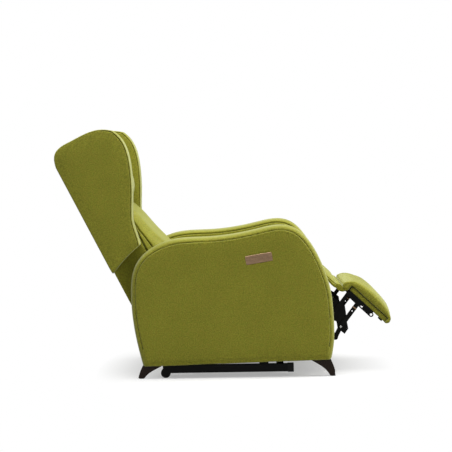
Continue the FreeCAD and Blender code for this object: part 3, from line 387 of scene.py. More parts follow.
EFFECTS = {}
MATERIALS = {}


def effect_node(tree, build, inputs):
    """A group node of an effect, which is built the first time that it is asked for."""
    if build.__name__ not in EFFECTS:
        EFFECTS[build.__name__] = build()
    node = tree.add("Group", node_tree=EFFECTS[build.__name__])
    for name, value in inputs.items():
        tree.feed(node.inputs[name], value)
    return node


def finish_material(name, build, inputs, bump, depth, turn=(0.0, 0.0, 0.0), shader=None):
    """A material whose colour, roughness and bump come from one effect, with constants on the shader itself."""
    material = bpy.data.materials.new(name)
    tree = bare_tree(material)
    where = tree.place(tree.add("TexCoord").outputs["Object"], turn=turn)
    node = effect_node(tree, build, {"Vector": where, **inputs})
    relief = tree.add("Bump", {"Height": node.outputs["Height"], "Strength": bump, "Distance": depth})
    base = tree.add("BsdfPrincipled", {"Base Color": node.outputs["Colour"], "Roughness": node.outputs["Roughness"],
                                       "Normal": relief.outputs[0], **(shader or {})})
    tree.feed(tree.add("OutputMaterial").inputs["Surface"], base.outputs[0])
    MATERIALS[name] = material


def rgba(colour):
    return (*colour, 1.0)


def make_materials():
    cloth, hard = bpy.context.scene.recliner_upholstery, bpy.context.scene.recliner_finish
    sheen = {"Sheen Weight": 0.50, "Sheen Roughness": 0.5, "Sheen Tint": (0.91, 0.98, 0.64, 1.0),
             "Specular IOR Level": 0.0}
    finish_material("felt", felt_effect, {"Colour": rgba(cloth.felt), "Fleck": rgba(cloth.felt_fleck)},
                    0.55, 0.0007, shader=sheen)
    # Painted shade in the seams: the dark cord's material, a darkened felt.
    finish_material("painted_seam_shade", felt_effect, {"Colour": rgba(cloth.painted_seam_shade), "Fleck": rgba(cloth.felt), "Scale": 1.6},
                    0.5, 0.0003, shader={"Specular IOR Level": 0.05})
    finish_material("wenge", grain_effect, {"Colour": rgba(hard.wood), "Contrast": 0.55}, 0.25, 0.0003,
                    turn=(0.0, math.radians(-20.0), 0.0), shader={"Specular IOR Level": 0.16})
    finish_material("frame_wood", grain_effect, {"Colour": rgba(hard.plywood), "Contrast": 0.35, "Scale": 0.8},
                    0.3, 0.0004, turn=(math.radians(90.0), 0.0, 0.0))
    finish_material("black_steel", pebble_effect,
                    {"Colour": rgba(hard.steel), "Roughness": 0.42, "Dust": 0.008}, 0.25, 0.0003,
                    shader={"Specular IOR Level": 0.10})
    finish_material("black_plastic", pebble_effect,
                    {"Colour": rgba(hard.plastic), "Roughness": 0.5, "Scale": 1.3, "Dust": 0.01}, 0.4, 0.0002,
                    shader={"Specular IOR Level": 0.15})
    finish_material("rubber", pebble_effect,
                    {"Colour": (0.005, 0.005, 0.005, 1.0), "Roughness": 0.65, "Scale": 0.8, "Dust": 0.02}, 0.3, 0.0003,
                    shader={"Specular IOR Level": 0.15})
    finish_material("glide_felt", felt_effect,
                    {"Colour": (0.10, 0.09, 0.08, 1.0), "Fleck": (0.2, 0.19, 0.17, 1.0)}, 0.6, 0.0005)
    finish_material("zinc", brushed_effect, {"Colour": rgba(hard.zinc), "Roughness": 0.38, "Streak": 0.2},
                    0.15, 0.0001, shader={"Metallic": 1.0})
    finish_material("copper", brushed_effect, {"Colour": rgba(hard.copper), "Roughness": 0.34, "Streak": 0.3},
                    0.3, 0.0001, turn=(0.0, math.radians(8.7), 0.0), shader={"Metallic": 1.0})
    finish_material("webbing", webbing_effect, {"Colour": (0.03, 0.03, 0.032, 1.0)}, 0.6, 0.0006)


def dress(node, material):
    """Gives a CAD node a finish in all of its material slots."""
    part = frame["nodes"][node]
    if not part.material_slots:
        part.data.materials.append(MATERIALS[material])
    for each in part.material_slots:
        each.material = MATERIALS[material]


# Mesh tools

def linked(name, data):
    """A new object in the scene."""
    made = bpy.data.objects.new(name, data)
    bpy.context.scene.collection.objects.link(made)
    return made


def new_piece(name, mesh, material, node, replaced=(), smooth=True):
    """Links a finished mesh as a piece that rides with the body of a CAD node."""
    mesh.name = name
    mesh.materials.clear()
    mesh.materials.append(MATERIALS[material])
    if smooth:
        mesh.shade_smooth()
    piece = linked(name, mesh)
    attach(piece, BODY_OF[node])
    if replaced:
        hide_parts(*replaced)
    return piece


def node_bmesh(*nodes):
    """The merged mesh of CAD nodes as a bmesh."""
    mesh = bmesh.new()
    for node in nodes:
        mesh.from_mesh(frame["nodes"][node].data)
    bmesh.ops.remove_doubles(mesh, verts=mesh.verts, dist=0.02 * MM)
    return mesh


def bmesh_of(mesh):
    made = bmesh.new()
    made.from_mesh(mesh)
    return made


def to_mesh(made, name):
    mesh = bpy.data.meshes.new(name)
    made.to_mesh(mesh)
    made.free()
    return mesh


def worked_out(passing):
    """The mesh that a passing object's modifiers or curve give. The object goes."""
    done = bpy.data.meshes.new_from_object(passing.evaluated_get(bpy.context.evaluated_depsgraph_get()))
    bpy.data.objects.remove(passing)
    return done


def through_modifiers(mesh, build):
    """A mesh after the modifiers that build adds to a passing object."""
    passing = linked("passing", mesh)
    build(passing)
    bpy.context.view_layer.update()
    done = worked_out(passing)
    bpy.data.meshes.remove(mesh)
    return done


def surface_of(mesh):
    """A mesh's surface, which finds the nearest place on it."""
    made = bmesh_of(mesh)
    surface = BVHTree.FromBMesh(made)
    made.free()
    return surface


def nearest_of(points):
    """Finds the nearest of the points, by its number."""
    tree = KDTree(len(points))
    for number, point in enumerate(points):
        tree.insert(point, number)
    tree.balance()
    return tree


def within(share):
    """A share held from 0 to 1, with soft ends."""
    share = min(max(share, 0.0), 1.0)
    return share * share * (3.0 - 2.0 * share)


def remeshed(mesh, voxel, rounds=0, true_to_shape=False):
    """The mesh as even cells. With true_to_shape, each point goes back to the surface that it came from."""
    surface = surface_of(mesh) if true_to_shape else None

    def build(passing):
        grid = passing.modifiers.new("cells", "REMESH")
        grid.mode = "VOXEL"
        grid.voxel_size = voxel
        grid.use_smooth_shade = True
        if rounds:
            calm = passing.modifiers.new("calm", "SMOOTH")
            calm.factor = 0.5
            calm.iterations = rounds
    done = through_modifiers(mesh, build)
    if surface:
        for vertex in done.vertices:
            vertex.co = surface.find_nearest(vertex.co)[0]
    return done


def moved_along_normals(mesh, distance, stays=lambda normal: False):
    """Moves the points of a mesh along their normals, apart from those whose normal passes a test."""
    shifts = [vertex.normal * (0.0 if stays(vertex.normal) else distance) for vertex in mesh.vertices]
    for vertex, shift in zip(mesh.vertices, shifts):
        vertex.co += shift


def filled(mesh, cap, held):
    """The cover blown up by its filling, no further than cap. held(normal) says which points rest on the frame."""
    rest = [vertex.co.copy() for vertex in mesh.vertices]
    kept = [held(vertex.normal) for vertex in mesh.vertices]
    passing = linked("passing", mesh)
    pinned = passing.vertex_groups.new(name="held")
    pinned.add([number for number, stays in enumerate(kept) if stays], 1.0, "REPLACE")
    scene = bpy.context.scene
    cloth = passing.modifiers.new("filling", "CLOTH")
    cloth.settings.use_pressure = True
    cloth.settings.uniform_pressure_force = scene.recliner_upholstery.pressure
    cloth.settings.vertex_group_mass = "held"
    cloth.settings.effector_weights.gravity = 0.0
    cloth.point_cache.frame_end = FILLING_FRAMES
    for number in range(1, FILLING_FRAMES + 1):
        scene.frame_set(number)
    done = worked_out(passing)
    scene.frame_set(1)
    for vertex, start, stays in zip(done.vertices, rest, kept):
        step = vertex.co - start
        if stays:
            vertex.co = start
        elif step.length > cap:
            vertex.co = start + step * (cap / step.length)
    bpy.data.meshes.remove(mesh)
    return done


def finer(mesh):
    """The mesh after one subdivision."""
    def build(passing):
        step = passing.modifiers.new("finer", "SUBSURF")
        step.levels = step.render_levels = 1
    return through_modifiers(mesh, build)


def face_loop(node, side):
    """The outline of a CAD node's flat outer face, as even points. side is 1 for +Y and -1 for -Y."""
    made = node_bmesh(node)
    reach = max(side * vertex.co.y for vertex in made.verts)
    flat = {face for face in made.faces if face.normal.y * side > 0.999
            and abs(side * face.calc_center_median().y - reach) < 0.1 * MM}
    rim = [edge for edge in made.edges if sum(face in flat for face in edge.link_faces) == 1]
    following = {}
    for edge in rim:
        a, b = edge.verts
        following.setdefault(a, []).append(b)
        following.setdefault(b, []).append(a)
    start = rim[0].verts[0]
    points, before, here = [start.co.copy()], start, following[start][0]
    while here is not start:
        points.append(here.co.copy())
        ahead = [vertex for vertex in following[here] if vertex is not before]
        before, here = here, ahead[0]
    made.free()
    return evenly(points, SEAM_STEP)


def evenly(points, step):
    """Points at an even step round a closed line."""
    line = points + points[:1]
    gaps = [(b - a).length for a, b in zip(line, line[1:])]
    total = sum(gaps)
    count = max(4, round(total / step))
    made = []
    reached, number = 0.0, 0
    for mark in range(count):
        want = total * mark / count
        while number < len(gaps) - 1 and reached + gaps[number] < want:
            reached += gaps[number]
            number += 1
        share = (want - reached) / max(gaps[number], 1e-9)
        made.append(line[number].lerp(line[number + 1], min(max(share, 0.0), 1.0)))
    return made


def eased(points, rounds=6):
    """A line of points with its small kinks smoothed out. Its ends stay."""
    for _ in range(rounds):
        inner = [(a + b * 2.0 + c) / 4.0 for a, b, c in zip(points, points[1:], points[2:])]
        points = points[:1] + inner + points[-1:]
    return points


def shade_cord_mesh(lines, radius):
    """A round cord along each line of points, as one mesh: the body of the dark cord that paints the shade in the
    seams.
    """
    curve = bpy.data.curves.new("painted_seam_shade", "CURVE")
    curve.dimensions = "3D"
    curve.bevel_depth = radius
    curve.bevel_resolution = 3
    curve.use_fill_caps = True
    for line in lines:
        spline = curve.splines.new("POLY")
        spline.points.add(len(line) - 1)
        for place, point in zip(spline.points, line):
            place.co = (*point, 1.0)
    passing = linked("passing", curve)
    bpy.context.view_layer.update()
    mesh = worked_out(passing)
    made = bmesh_of(mesh)
    bmesh.ops.remove_doubles(made, verts=made.verts, dist=0.01 * MM)
    bmesh.ops.recalc_face_normals(made, faces=made.faces)
    made.to_mesh(mesh)
    made.free()
    return mesh


def groove(mesh, lines, depth, width):
    """Sinks seams into a mesh along lines of points, after making the faces beside them finer."""
    tree = nearest_of([point for line in lines for point in line])
    made = bmesh_of(mesh)
    for widths in FINER_WITHIN:
        near = [edge for edge in made.edges
                if tree.find((edge.verts[0].co + edge.verts[1].co) / 2)[2] < width * widths]
        bmesh.ops.subdivide_edges(made, edges=near, cuts=1, use_grid_fill=True, smooth=0.0)
    bmesh.ops.triangulate(made, faces=[face for face in made.faces if len(face.verts) > 4])
    made.normal_update()
    shifts = []
    for vertex in made.verts:
        away = tree.find(vertex.co)[2] / width
        if away < 1.0:
            shifts.append((vertex, vertex.normal * (-depth * (1.0 - away * away) ** 2)))
    for vertex, shift in shifts:
        vertex.co += shift
    made.to_mesh(mesh)
    made.free()
    return mesh


def part_of_loop(loop, keep):
    """The longest run of a closed loop whose points pass a test, in order."""
    flags = [keep(point) for point in loop]
    if all(flags):
        return loop
    start = next(number for number in range(len(loop)) if flags[number] and not flags[number - 1])
    return max((list(run) for kept, run in groupby(loop[start:] + loop[:start], keep) if kept), key=len)


def run_between(loop, start, end, via):
    """The part of a closed loop from the point nearest to start to the one nearest to end, past via."""
    first, last, middle = (min(range(len(loop)), key=lambda number: (loop[number] - place).length)
                           for place in (start, end, via))
    forward = [loop[(first + step) % len(loop)] for step in range((last - first) % len(loop) + 1)]
    back = [loop[(first - step) % len(loop)] for step in range((first - last) % len(loop) + 1)]
    return forward if loop[middle] in forward else back


# Pieces

def sewn(name, mesh, lines, node, replaced, width=SEAM_WIDTH):
    """A cover with seams drawn in along lines of points, and a dark cord sunk in them, which paints the shade in the
    seams' valleys.
    """
    cloth = bpy.context.scene.recliner_upholstery
    surface = surface_of(mesh)
    laid, sunk = [], []
    for line in lines:
        found = [surface.find_nearest(point)[:2] for point in line]
        normals = eased([normal for _, normal in found], 3)
        laid.append([place for place, _ in found])
        sunk.append(eased([place - normal.normalized() * (cloth.seam_depth - cloth.seam * 0.5)
                           for (place, _), normal in zip(found, normals)], 3))
    if lines:
        mesh = groove(mesh, laid, cloth.seam_depth, width)
    cover = new_piece(name, mesh, "felt", node, replaced=replaced)
    if lines:
        # The dark cord in each seam is painted shade: it darkens the seam's valley as its shadow would.
        shade_cord = new_piece(name + "_seam_shade", shade_cord_mesh(sunk, cloth.seam), "painted_seam_shade", node)
    return cover


def padded_side(name, nodes, faces, dome):
    """The mesh of an arm or a wing: a firm padded form whose two faces are domed inside their outlines."""
    voxel = bpy.context.scene.recliner_upholstery.voxel
    mesh = remeshed(to_mesh(node_bmesh(*nodes), name), voxel, rounds=2, true_to_shape=True)
    tree = nearest_of([point for face in faces for point in face])
    normals = [vertex.normal.copy() for vertex in mesh.vertices]
    for vertex, normal in zip(mesh.vertices, normals):
        if abs(normal.y) > 0.9:
            away = min(tree.find(vertex.co)[2] / DOME_REACH, 1.0)
            vertex.co.y += math.copysign(dome * away * (2.0 - away), normal.y)
    return mesh


class RECLINER_OT_materials(Operator):
    """Make the cloth, wood, metal and plastic finishes"""
    bl_idname = "recliner.materials"
    bl_label = "Finishes"

    def execute(self, context):
        make_materials()
        return {"FINISHED"}


class RECLINER_OT_arms(Operator):
    """Upholster both arms, with a seam inside the outline of each face"""
    bl_idname = "recliner.arms"
    bl_label = "Arms"

    def execute(self, context):
        for side, way in zip(SIDES, (1, -1)):
            body, panel = "arm_body_" + side, "arm_panel_" + side
            faces = [face_loop(panel, way), face_loop(body, -way)]
            seams = [eased(part_of_loop(face, lambda point: point.z > ARM_SEAM_FOOT)) for face in faces]
            mesh = padded_side("arm_cover_" + side, [body, panel], faces, ARM_DOME)
            sewn("arm_cover_" + side, mesh, seams, body, [body, panel])
        return {"FINISHED"}


class RECLINER_OT_wings(Operator):
    """Upholster both wings of the back, with a seam round their front and top edges"""
    bl_idname = "recliner.wings"
    bl_label = "Wings"

    def execute(self, context):
        for side, way in zip(SIDES, (1, -1)):
            wing = "wing_" + side
            faces = [face_loop(wing, way), face_loop(wing, -way)]
            seams, tucks = [], []
            for face in faces:
                low = max(face, key=lambda point: along_back(point) - up_back(point))
                high = min(face, key=lambda point: along_back(point) - up_back(point))
                front = max(face, key=lambda point: along_back(point) + up_back(point))
                top = max(face, key=lambda point: point.z)
                line = outset(face, WING_SEAM_OUTSET)
                seams.append(eased(run_between(line, low, top, front), WING_SEAM_ROUNDS))
                tuck = eased(run_between(line, top, high, (top + high) / 2), WING_SEAM_ROUNDS)
                tucks.append(tuck[:-WING_TUCK_SHORT])
            mesh = padded_side("wing_cover_" + side, [wing], faces, WING_DOME)
            for face in faces:
                square_up(mesh, face, WING_CROWN)
            easing = front_easing(faces[0])
            for points in (mesh.vertices, *seams):
                for point in points:
                    ease_front(point, easing)
            mesh = groove(mesh, tucks, *WING_TUCK)
            sewn("wing_cover_" + side, mesh, seams, wing, [wing], width=WING_SEAM_WIDTH)
        return {"FINISHED"}


def square_up(mesh, face, crown):
    """Makes the rounding between a flat face and its edge fuller. crown is how wide and how deep it is."""
    width, depth = crown
    tree = nearest_of([(point.x, 0.0, point.z) for point in face])
    outward = [moved - point for moved, point in zip(outset(face, 1.0), face)]
    for vertex in mesh.vertices:
        place = vertex.co
        _, number, _ = tree.find((place.x, 0.0, place.z))
        beyond = (place - face[number]).dot(outward[number]) / width
        inward = 1.0 - abs(place.y - face[number].y) / depth
        if beyond > 0.0 and inward > 0.0:
            swell = math.hypot(beyond, inward) / (beyond ** 8 + inward ** 8) ** 0.125 - 1.0
            place += outward[number] * (beyond * swell * width)
            place.y += math.copysign(inward * swell * depth, face[number].y - place.y)


def front_easing(face):
    """How far each point of a wing's front edge moves to lie on one even curve."""
    low, high = WING_FRONT_UP
    front = part_of_loop(face, lambda point: along_back(point) > WING_FRONT_AHEAD and low < up_back(point) < high)
    moves = [new - old for old, new in zip(front, eased(front, WING_FRONT_ROUNDS))]
    return nearest_of([(point.x, 0.0, point.z) for point in front]), moves


def ease_front(point, easing):
    """Moves a point or vertex near a wing's front edge with the edge."""
    tree, moves = easing
    place = point.co if hasattr(point, "co") else point
    _, number, distance = tree.find((place.x, 0.0, place.z))
    place += moves[number] * within(1.0 - distance / WING_EASING_REACH)


def outset(loop, distance):
    """A closed loop of points moved outwards in its XZ plane."""
    ahead, behind = loop[1:] + loop[:1], loop[-1:] + loop[:-1]
    turn = sum(a.x * b.z - b.x * a.z for a, b in zip(loop, ahead))
    moved = []
    for before, here, after in zip(behind, loop, ahead):
        along = after - before
        moved.append(here + Vector((along.z, 0.0, -along.x)).normalized() * math.copysign(distance, turn))
    return moved


def along_back(point):
    """How far a point lies in front of the recline hinge, measured square to the back."""
    offset = point - Vector(HINGE)
    return offset.x * math.cos(RECLINE) + offset.z * math.sin(RECLINE)


def up_back(point):
    """How far up the back a point lies from the recline hinge."""
    offset = point - Vector(HINGE)
    return offset.z * math.cos(RECLINE) - offset.x * math.sin(RECLINE)


def from_hinge(hinge, tilt, ahead, up):
    """The (x, z) of a place that lies ahead of a hinge and up from it on a tilted form, all in millimetres."""
    return (hinge[0] / MM + ahead * math.cos(tilt) - up * math.sin(tilt),
            hinge[2] / MM + ahead * math.sin(tilt) + up * math.cos(tilt))


def side_seams(node):
    """The outlines of a cushion's two side panels."""
    loops = face_loop(node, 1), face_loop(node, -1)
    return [eased(loop + loop[:1]) for loop in loops]


def pillow(node, cells, shrink, hold, shape=None):
    """Fills a cushion that stands for a CAD node, which then swells from a slightly smaller form."""
    mesh = remeshed(to_mesh(node_bmesh(node), node), cells, rounds=1)
    moved_along_normals(mesh, -shrink)
    mesh = finer(filled(mesh, CUSHION_SWELL, hold))
    if shape:
        shape(mesh)
    sewn(node.replace("cushion", "pillow"), mesh, side_seams(node), node, [node])


def tucked_in(mesh):
    """Holds the head pillow's lower front behind the wings' front edges."""
    for vertex in mesh.vertices:
        under = max(0.0, HEAD_TUCK_TOP - up_back(vertex.co)) / HEAD_TUCK_HEIGHT
        beyond = along_back(vertex.co) - (HEAD_FRONT - HEAD_TUCK * under * under)
        if under and beyond > 0.0:
            vertex.co -= FORWARD * beyond


class RECLINER_OT_back(Operator):
    """Cover the back shell and fill its two cushions"""
    bl_idname = "recliner.back"
    bl_label = "Back"

    def execute(self, context):
        cells = context.scene.recliner_upholstery.cushion_step
        shell = remeshed(to_mesh(node_bmesh("back_cover"), "shell"), FIRM_CELLS, rounds=2)
        sewn("back_shell_cover", shell, [], "back_cover", ["back_cover"])
        liner = extruded([from_hinge(HINGE, RECLINE, *corner) for corner in BACK_LINER], BACK_LINER_HALF_WIDTH)
        sewn("back_liner", remeshed(to_mesh(liner, "liner"), FIRM_CELLS, rounds=2), [], "back_rails", [])
        for node, shape in (("lumbar_cushion", None), ("head_cushion", tucked_in)):
            pillow(node, cells, 0.5 * MM, lambda normal: normal.dot(FORWARD) < -0.6, shape)
        return {"FINISHED"}


class RECLINER_OT_seat(Operator):
    """Fill the seat cushion and the flap that bridges to the footrest, with the soft fold at its end"""
    bl_idname = "recliner.seat"
    bl_label = "Seat and bridge"

    def execute(self, context):
        pillow("seat_cushion", context.scene.recliner_upholstery.cushion_step, 1 * MM, lambda normal: normal.z < -0.5)
        lip = finer(remeshed(to_mesh(extruded(SEAT_LIP, SEAT_LIP_HALF_WIDTH), "lip"), TRIM_CELLS, rounds=3))
        sewn("seat_lip", lip, [], "seat_front_rail", [])

        board = node_bmesh("flap_board")
        cut = Vector(BRIDGE_WRAP_FROM)
        bmesh.ops.bisect_plane(board, geom=board.verts[:] + board.edges[:] + board.faces[:], plane_co=cut,
                               plane_no=(math.cos(BRIDGE_TILT), 0.0, math.sin(BRIDGE_TILT)), clear_inner=True)
        bmesh.ops.holes_fill(board, edges=board.edges)
        bmesh.ops.triangulate(board, faces=board.faces)
        wrap = remeshed(to_mesh(board, "wrap"), TRIM_CELLS)
        moved_along_normals(wrap, BRIDGE_WRAP_THICKNESS)
        both = node_bmesh("flap_pad")
        both.from_mesh(wrap)
        skirt = [from_hinge(BRIDGE_HINGE, BRIDGE_TILT, *corner) for corner in BRIDGE_SKIRT]
        for side in (-1, 1):
            both.from_mesh(to_mesh(extruded(skirt, SKIRT_HALF_THICKNESS, side * SKIRT_AT), "skirt"))
        mesh = remeshed(to_mesh(both, "bridge"), BRIDGE_CELLS, rounds=2)
        moved_along_normals(mesh, -1 * MM)
        down = Vector((math.sin(BRIDGE_TILT), 0.0, -math.cos(BRIDGE_TILT)))
        mesh = finer(filled(mesh, PAD_SWELL, lambda normal: normal.dot(down) > 0.4))
        for vertex in mesh.vertices:
            offset = vertex.co - Vector(BRIDGE_HINGE)
            ahead = offset.x * math.cos(BRIDGE_TILT) + offset.z * math.sin(BRIDGE_TILT)
            measured = (abs(vertex.co.y), DROOP_BESIDE), (ahead, DROOP_AHEAD), (-offset.dot(down), DROOP_ABOVE)
            share = math.prod(within((value - start) / width) for value, (start, width) in measured)
            vertex.co += down * (BRIDGE_DROOP * share)
        sewn("bridge_cover", mesh, [], "flap_pad", ["flap_pad"])

        fold = extruded(BRIDGE_FOLD, FOLD_HALF_WIDTH)
        fold.from_mesh(to_mesh(extruded(FOLD_SKIN, FOLD_SKIN_HALF_WIDTH), "skin"))
        for side in (-1, 1):
            fold.from_mesh(to_mesh(extruded(BRIDGE_FOLD, FOLD_END_HALF_THICKNESS, side * FOLD_END_AT), "end"))
        fold = remeshed(to_mesh(fold, "fold"), TRIM_CELLS, rounds=3)
        piece = sewn("bridge_fold", finer(fold), [], "flap_pad", [])
        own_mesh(piece)
        return {"FINISHED"}


def extruded(outline, half_width, middle=0.0):
    """A bar with a closed outline of (x, z) points in millimetres, as a bmesh with its faces outward."""
    made = bmesh.new()
    face = made.faces.new([made.verts.new((x * MM, -half_width, z * MM)) for x, z in outline])
    grown = bmesh.ops.extrude_face_region(made, geom=[face])["geom"]
    bmesh.ops.translate(made, vec=(0.0, 2.0 * half_width, 0.0),
                        verts=[part for part in grown if isinstance(part, bmesh.types.BMVert)])
    bmesh.ops.recalc_face_normals(made, faces=made.faces)
    bmesh.ops.translate(made, vec=(0.0, middle, 0.0), verts=made.verts)
    return made


class RECLINER_OT_footrest(Operator):
    """Fill the footrest pad and wrap its board"""
    bl_idname = "recliner.footrest"
    bl_label = "Footrest"

    def execute(self, context):
        up = Vector((-math.sin(FOOTREST_TILT), 0.0, math.cos(FOOTREST_TILT)))
        mesh = remeshed(to_mesh(node_bmesh("footrest_pad"), "footrest_pad"), FIRM_CELLS, rounds=1)
        moved_along_normals(mesh, FOOTREST_CLOTH, lambda normal: normal.dot(up) < -0.3)
        mesh = finer(filled(mesh, PAD_SWELL, lambda normal: normal.dot(up) < -0.3))
        crowns = [(vertex, max(vertex.normal.dot(up), 0.0)) for vertex in mesh.vertices]
        for vertex, share in crowns:
            away = (vertex.co.x - FOOTREST_CROWN_X) / FOOTREST_CROWN_SPREAD
            vertex.co += up * (FOOTREST_CROWN * share * math.exp(-away * away))
        sewn("footrest_pillow", mesh, [], "footrest_pad", ["footrest_pad"])
        wrap = remeshed(to_mesh(node_bmesh("footrest_board"), "board"), BOARD_CELLS, rounds=2)
        moved_along_normals(wrap, FOOTREST_CLOTH, lambda normal: normal.dot(up) > 0.3)
        moved_along_normals(wrap, -FOOTREST_CLOTH, lambda normal: normal.dot(up) < 0.3)
        sewn("footrest_board_cover", wrap, [], "footrest_board", ["footrest_board"])
        return {"FINISHED"}


class RECLINER_OT_rivets(Operator):
    """Set zinc rivet heads on the linkage's pivots, and the copper-coloured sleeve on each long link"""
    bl_idname = "recliner.rivets"
    bl_label = "Rivets and sleeves"

    def execute(self, context):
        for side, way in zip(SIDES, (1, -1)):
            for name, node, joints in (("long_link_rivets_", "long_link_", ("long_link", "footrest")),
                                       ("front_link_rivet_", "front_link_", ("front_link",))):
                low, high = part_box(node + side)
                outer = high.y if way > 0 else low.y
                made = bmesh.new()
                for joint in joints:
                    x, _, z = pivot(joint)
                    rivet_head(made, Vector((x, outer, z)), way)
                new_piece(name + side, to_mesh(made, name), "zinc", node + side)
            low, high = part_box("upper_link_" + side)
            middle = SLEEVE_AT[0] * MM, (low.y + high.y) / 2 + way * SLEEVE_OUT, SLEEVE_AT[1] * MM
            sleeve = bmesh.new()
            bmesh.ops.create_cube(sleeve, size=1.0)
            bmesh.ops.scale(sleeve, vec=SLEEVE_SIZE, verts=sleeve.verts)
            bmesh.ops.bevel(sleeve, geom=sleeve.edges[:], offset=0.8 * MM, affect="EDGES", segments=2, profile=0.5,
                            material=-1)
            bmesh.ops.rotate(sleeve, cent=(0.0, 0.0, 0.0), verts=sleeve.verts,
                             matrix=Quaternion((0.0, 1.0, 0.0), -LONG_LINK_RISE).to_matrix())
            bmesh.ops.translate(sleeve, vec=middle, verts=sleeve.verts)
            piece = new_piece("long_link_sleeve_" + side, to_mesh(sleeve, "sleeve"), "copper", "long_link_" + side,
                              smooth=False)
        return {"FINISHED"}


def rivet_head(made, centre, way):
    """Adds a domed rivet head with a small dimple, facing along way in Y."""
    points = [made.verts.new(centre + Vector((radius * MM, way * height * MM, 0.0)))
              for radius, height in RIVET_PROFILE]
    edges = [made.edges.new(pair) for pair in zip(points, points[1:])]
    bmesh.ops.spin(made, geom=points + edges, cent=centre, axis=(0.0, 1.0, 0.0), angle=math.tau, steps=24,
                   use_merge=True)
    bmesh.ops.remove_doubles(made, verts=made.verts, dist=0.01 * MM)
    bmesh.ops.recalc_face_normals(made, faces=made.faces)


# The finish of the CAD nodes whose names, without their side, stand here. All others are black steel.
STEMS_OF_FINISH = {
    "wenge": ("foot_front", "foot_rear"),
    "glide_felt": ("foot_glides",),
    "felt": ("seat_front_rail", "flap_board"),
    "webbing": ("seat_webbing",),
    "frame_wood": ("back_post", "back_rails"),
    "copper": ("switch_plate", "button_open", "button_close"),
    "rubber": ("roller", "footrest_bumpers"),
    "zinc": ("drive_rail", "hinge_pins"),
    "black_plastic": ("rail_end_caps", "switch_housing", "power_box", "drive_motor", "drive_carriage"),
}


class RECLINER_OT_hard_parts(Operator):
    """Give the feet, frame, linkage, drive and control plate their finishes"""
    bl_idname = "recliner.hard_parts"
    bl_label = "Feet, frame and linkage"

    def execute(self, context):
        finish_of = {stem: finish for finish, stems in STEMS_OF_FINISH.items() for stem in stems}
        for node in frame["nodes"]:
            stem = node.removesuffix("_left").removesuffix("_right")
            dress(node, finish_of.get(stem, "black_steel"))
        return {"FINISHED"}


class RECLINER_OT_stage(Operator):
    """Set up the floor, lamps and camera"""
    bl_idname = "recliner.stage"
    bl_label = "Studio"

    def execute(self, context):
        scene = context.scene
        stage = scene.recliner_stage
        scene.view_settings.view_transform = "Standard"

        camera = linked("camera", bpy.data.cameras.new("camera"))
        camera.data.lens = stage.lens
        camera.data.clip_end = 50.0
        stand(camera, stage.eye, stage.target, stage.roll)
        scene.camera = camera

        floor_mesh = bmesh.new()
        bmesh.ops.create_grid(floor_mesh, x_segments=1, y_segments=1, size=30.0)
        floor = linked("floor", to_mesh(floor_mesh, "floor"))
        floor.data.materials.append(floor_material(stage))

        for name, place, target, size, power in (
                ("lamp_above", (-0.15, -0.4, 3.6), (0.0, 0.0, 0.4), 3.0, stage.key),
                ("lamp_side", (3.4, -0.1, 1.9), (0.0, 0.0, 0.5), 1.6, stage.side),
                ("lamp_front", (1.9, -4.4, 2.8), (0.0, 0.0, 0.5), 2.8, stage.fill)):
            light = bpy.data.lights.new(name, "AREA")
            light.shape = "DISK"
            light.size = size
            light.energy = power
            stand(linked(name, light), place, target)

        world = bpy.data.worlds.new("studio")
        scene.world = world
        tree = bare_tree(world)
        path = tree.add("LightPath")
        seen = tree.math("MAXIMUM", path.outputs["Is Camera Ray"], path.outputs["Is Glossy Ray"])
        seen = tree.math("MAXIMUM", seen, path.outputs["Is Transmission Ray"])
        strength = tree.spread(seen, 0.0, 1.0, stage.ambient, 1.0)
        back = tree.add("Background", {"Color": (1.0, 1.0, 1.0, 1.0), "Strength": strength})
        tree.feed(tree.add("OutputWorld").inputs["Surface"], back.outputs[0])
        return {"FINISHED"}


def stand(thing, place, target, roll=0.0):
    """Puts a camera or lamp at a place, facing a target."""
    aim = (Vector(target) - Vector(place)).to_track_quat("-Z", "Y")
    thing.rotation_mode = "QUATERNION"
    thing.rotation_quaternion = aim @ Quaternion((0.0, 0.0, 1.0), -roll)
    thing.location = place


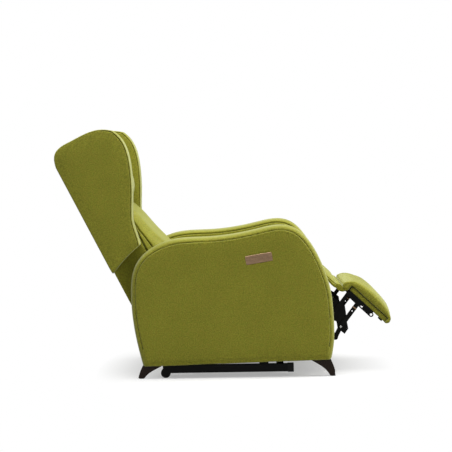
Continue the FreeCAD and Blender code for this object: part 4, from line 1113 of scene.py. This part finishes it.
def floor_material(stage):
    """A pale floor that fades into the white background away from the chair."""
    material = bpy.data.materials.new("floor")
    tree = bare_tree(material)
    where = tree.add("TexCoord").outputs["Object"]
    middle = tree.add("VectorMath", {0: where, 1: (0.08, 0.0, 0.0)}, operation="SUBTRACT").outputs[0]
    away = tree.add("VectorMath", {0: tree.place(middle, (1.55, 0.7, 1.0))}, operation="LENGTH").outputs["Value"]
    grain = tree.noise(where, 60.0, 3.0)
    pale = tree.mix(tree.spread(grain, 0.3, 0.7, 0.0, 0.02), rgba(stage.floor), (0.8, 0.8, 0.8, 1.0))
    path = tree.add("LightPath")
    tone = tree.mix(path.outputs["Is Camera Ray"], (0.42, 0.42, 0.41, 1.0), pale)
    lit = tree.add("BsdfDiffuse", {"Color": tone, "Roughness": 0.0})
    white = tree.add("Emission", {"Color": (1.0, 1.0, 1.0, 1.0), "Strength": 1.0})
    fade = tree.math("MULTIPLY", tree.spread(away, 0.50, 0.95, 0.36, 1.0), path.outputs["Is Camera Ray"])
    mixed = tree.add("MixShader", {0: fade, 1: lit.outputs[0], 2: white.outputs[0]})
    tree.feed(tree.add("OutputMaterial").inputs["Surface"], mixed.outputs[0])
    return material


class RECLINER_PT_sidebar(Panel):
    """The recliner's pieces, in the order in which they are made"""
    bl_label = "Recliner"
    bl_space_type = "VIEW_3D"
    bl_region_type = "UI"
    bl_category = "Recliner"

    def draw(self, context):
        for group in (context.scene.recliner_upholstery, context.scene.recliner_finish, context.scene.recliner_stage):
            box = self.layout.box()
            for name in group.bl_rna.properties.keys():
                if name not in ("rna_type", "name"):
                    box.prop(group, name)
        for operator in STEPS:
            self.layout.operator(operator.bl_idname)


STEPS = (RECLINER_OT_materials, RECLINER_OT_stage, RECLINER_OT_hard_parts, RECLINER_OT_arms, RECLINER_OT_wings,
         RECLINER_OT_back, RECLINER_OT_seat, RECLINER_OT_footrest, RECLINER_OT_rivets)
CLASSES = (UpholsterySettings, FinishSettings, StageSettings, *STEPS, RECLINER_PT_sidebar)


def register():
    for each in CLASSES:
        bpy.utils.register_class(each)
    bpy.types.Scene.recliner_upholstery = PointerProperty(type=UpholsterySettings)
    bpy.types.Scene.recliner_finish = PointerProperty(type=FinishSettings)
    bpy.types.Scene.recliner_stage = PointerProperty(type=StageSettings)


def unregister():
    del bpy.types.Scene.recliner_upholstery, bpy.types.Scene.recliner_finish, bpy.types.Scene.recliner_stage
    for each in reversed(CLASSES):
        bpy.utils.unregister_class(each)


def main():
    register()
    for step in STEPS:
        group, name = step.bl_idname.split(".")
        getattr(getattr(bpy.ops, group), name)()
    bpy.context.view_layer.update()


if __name__ == "__main__":
    main()
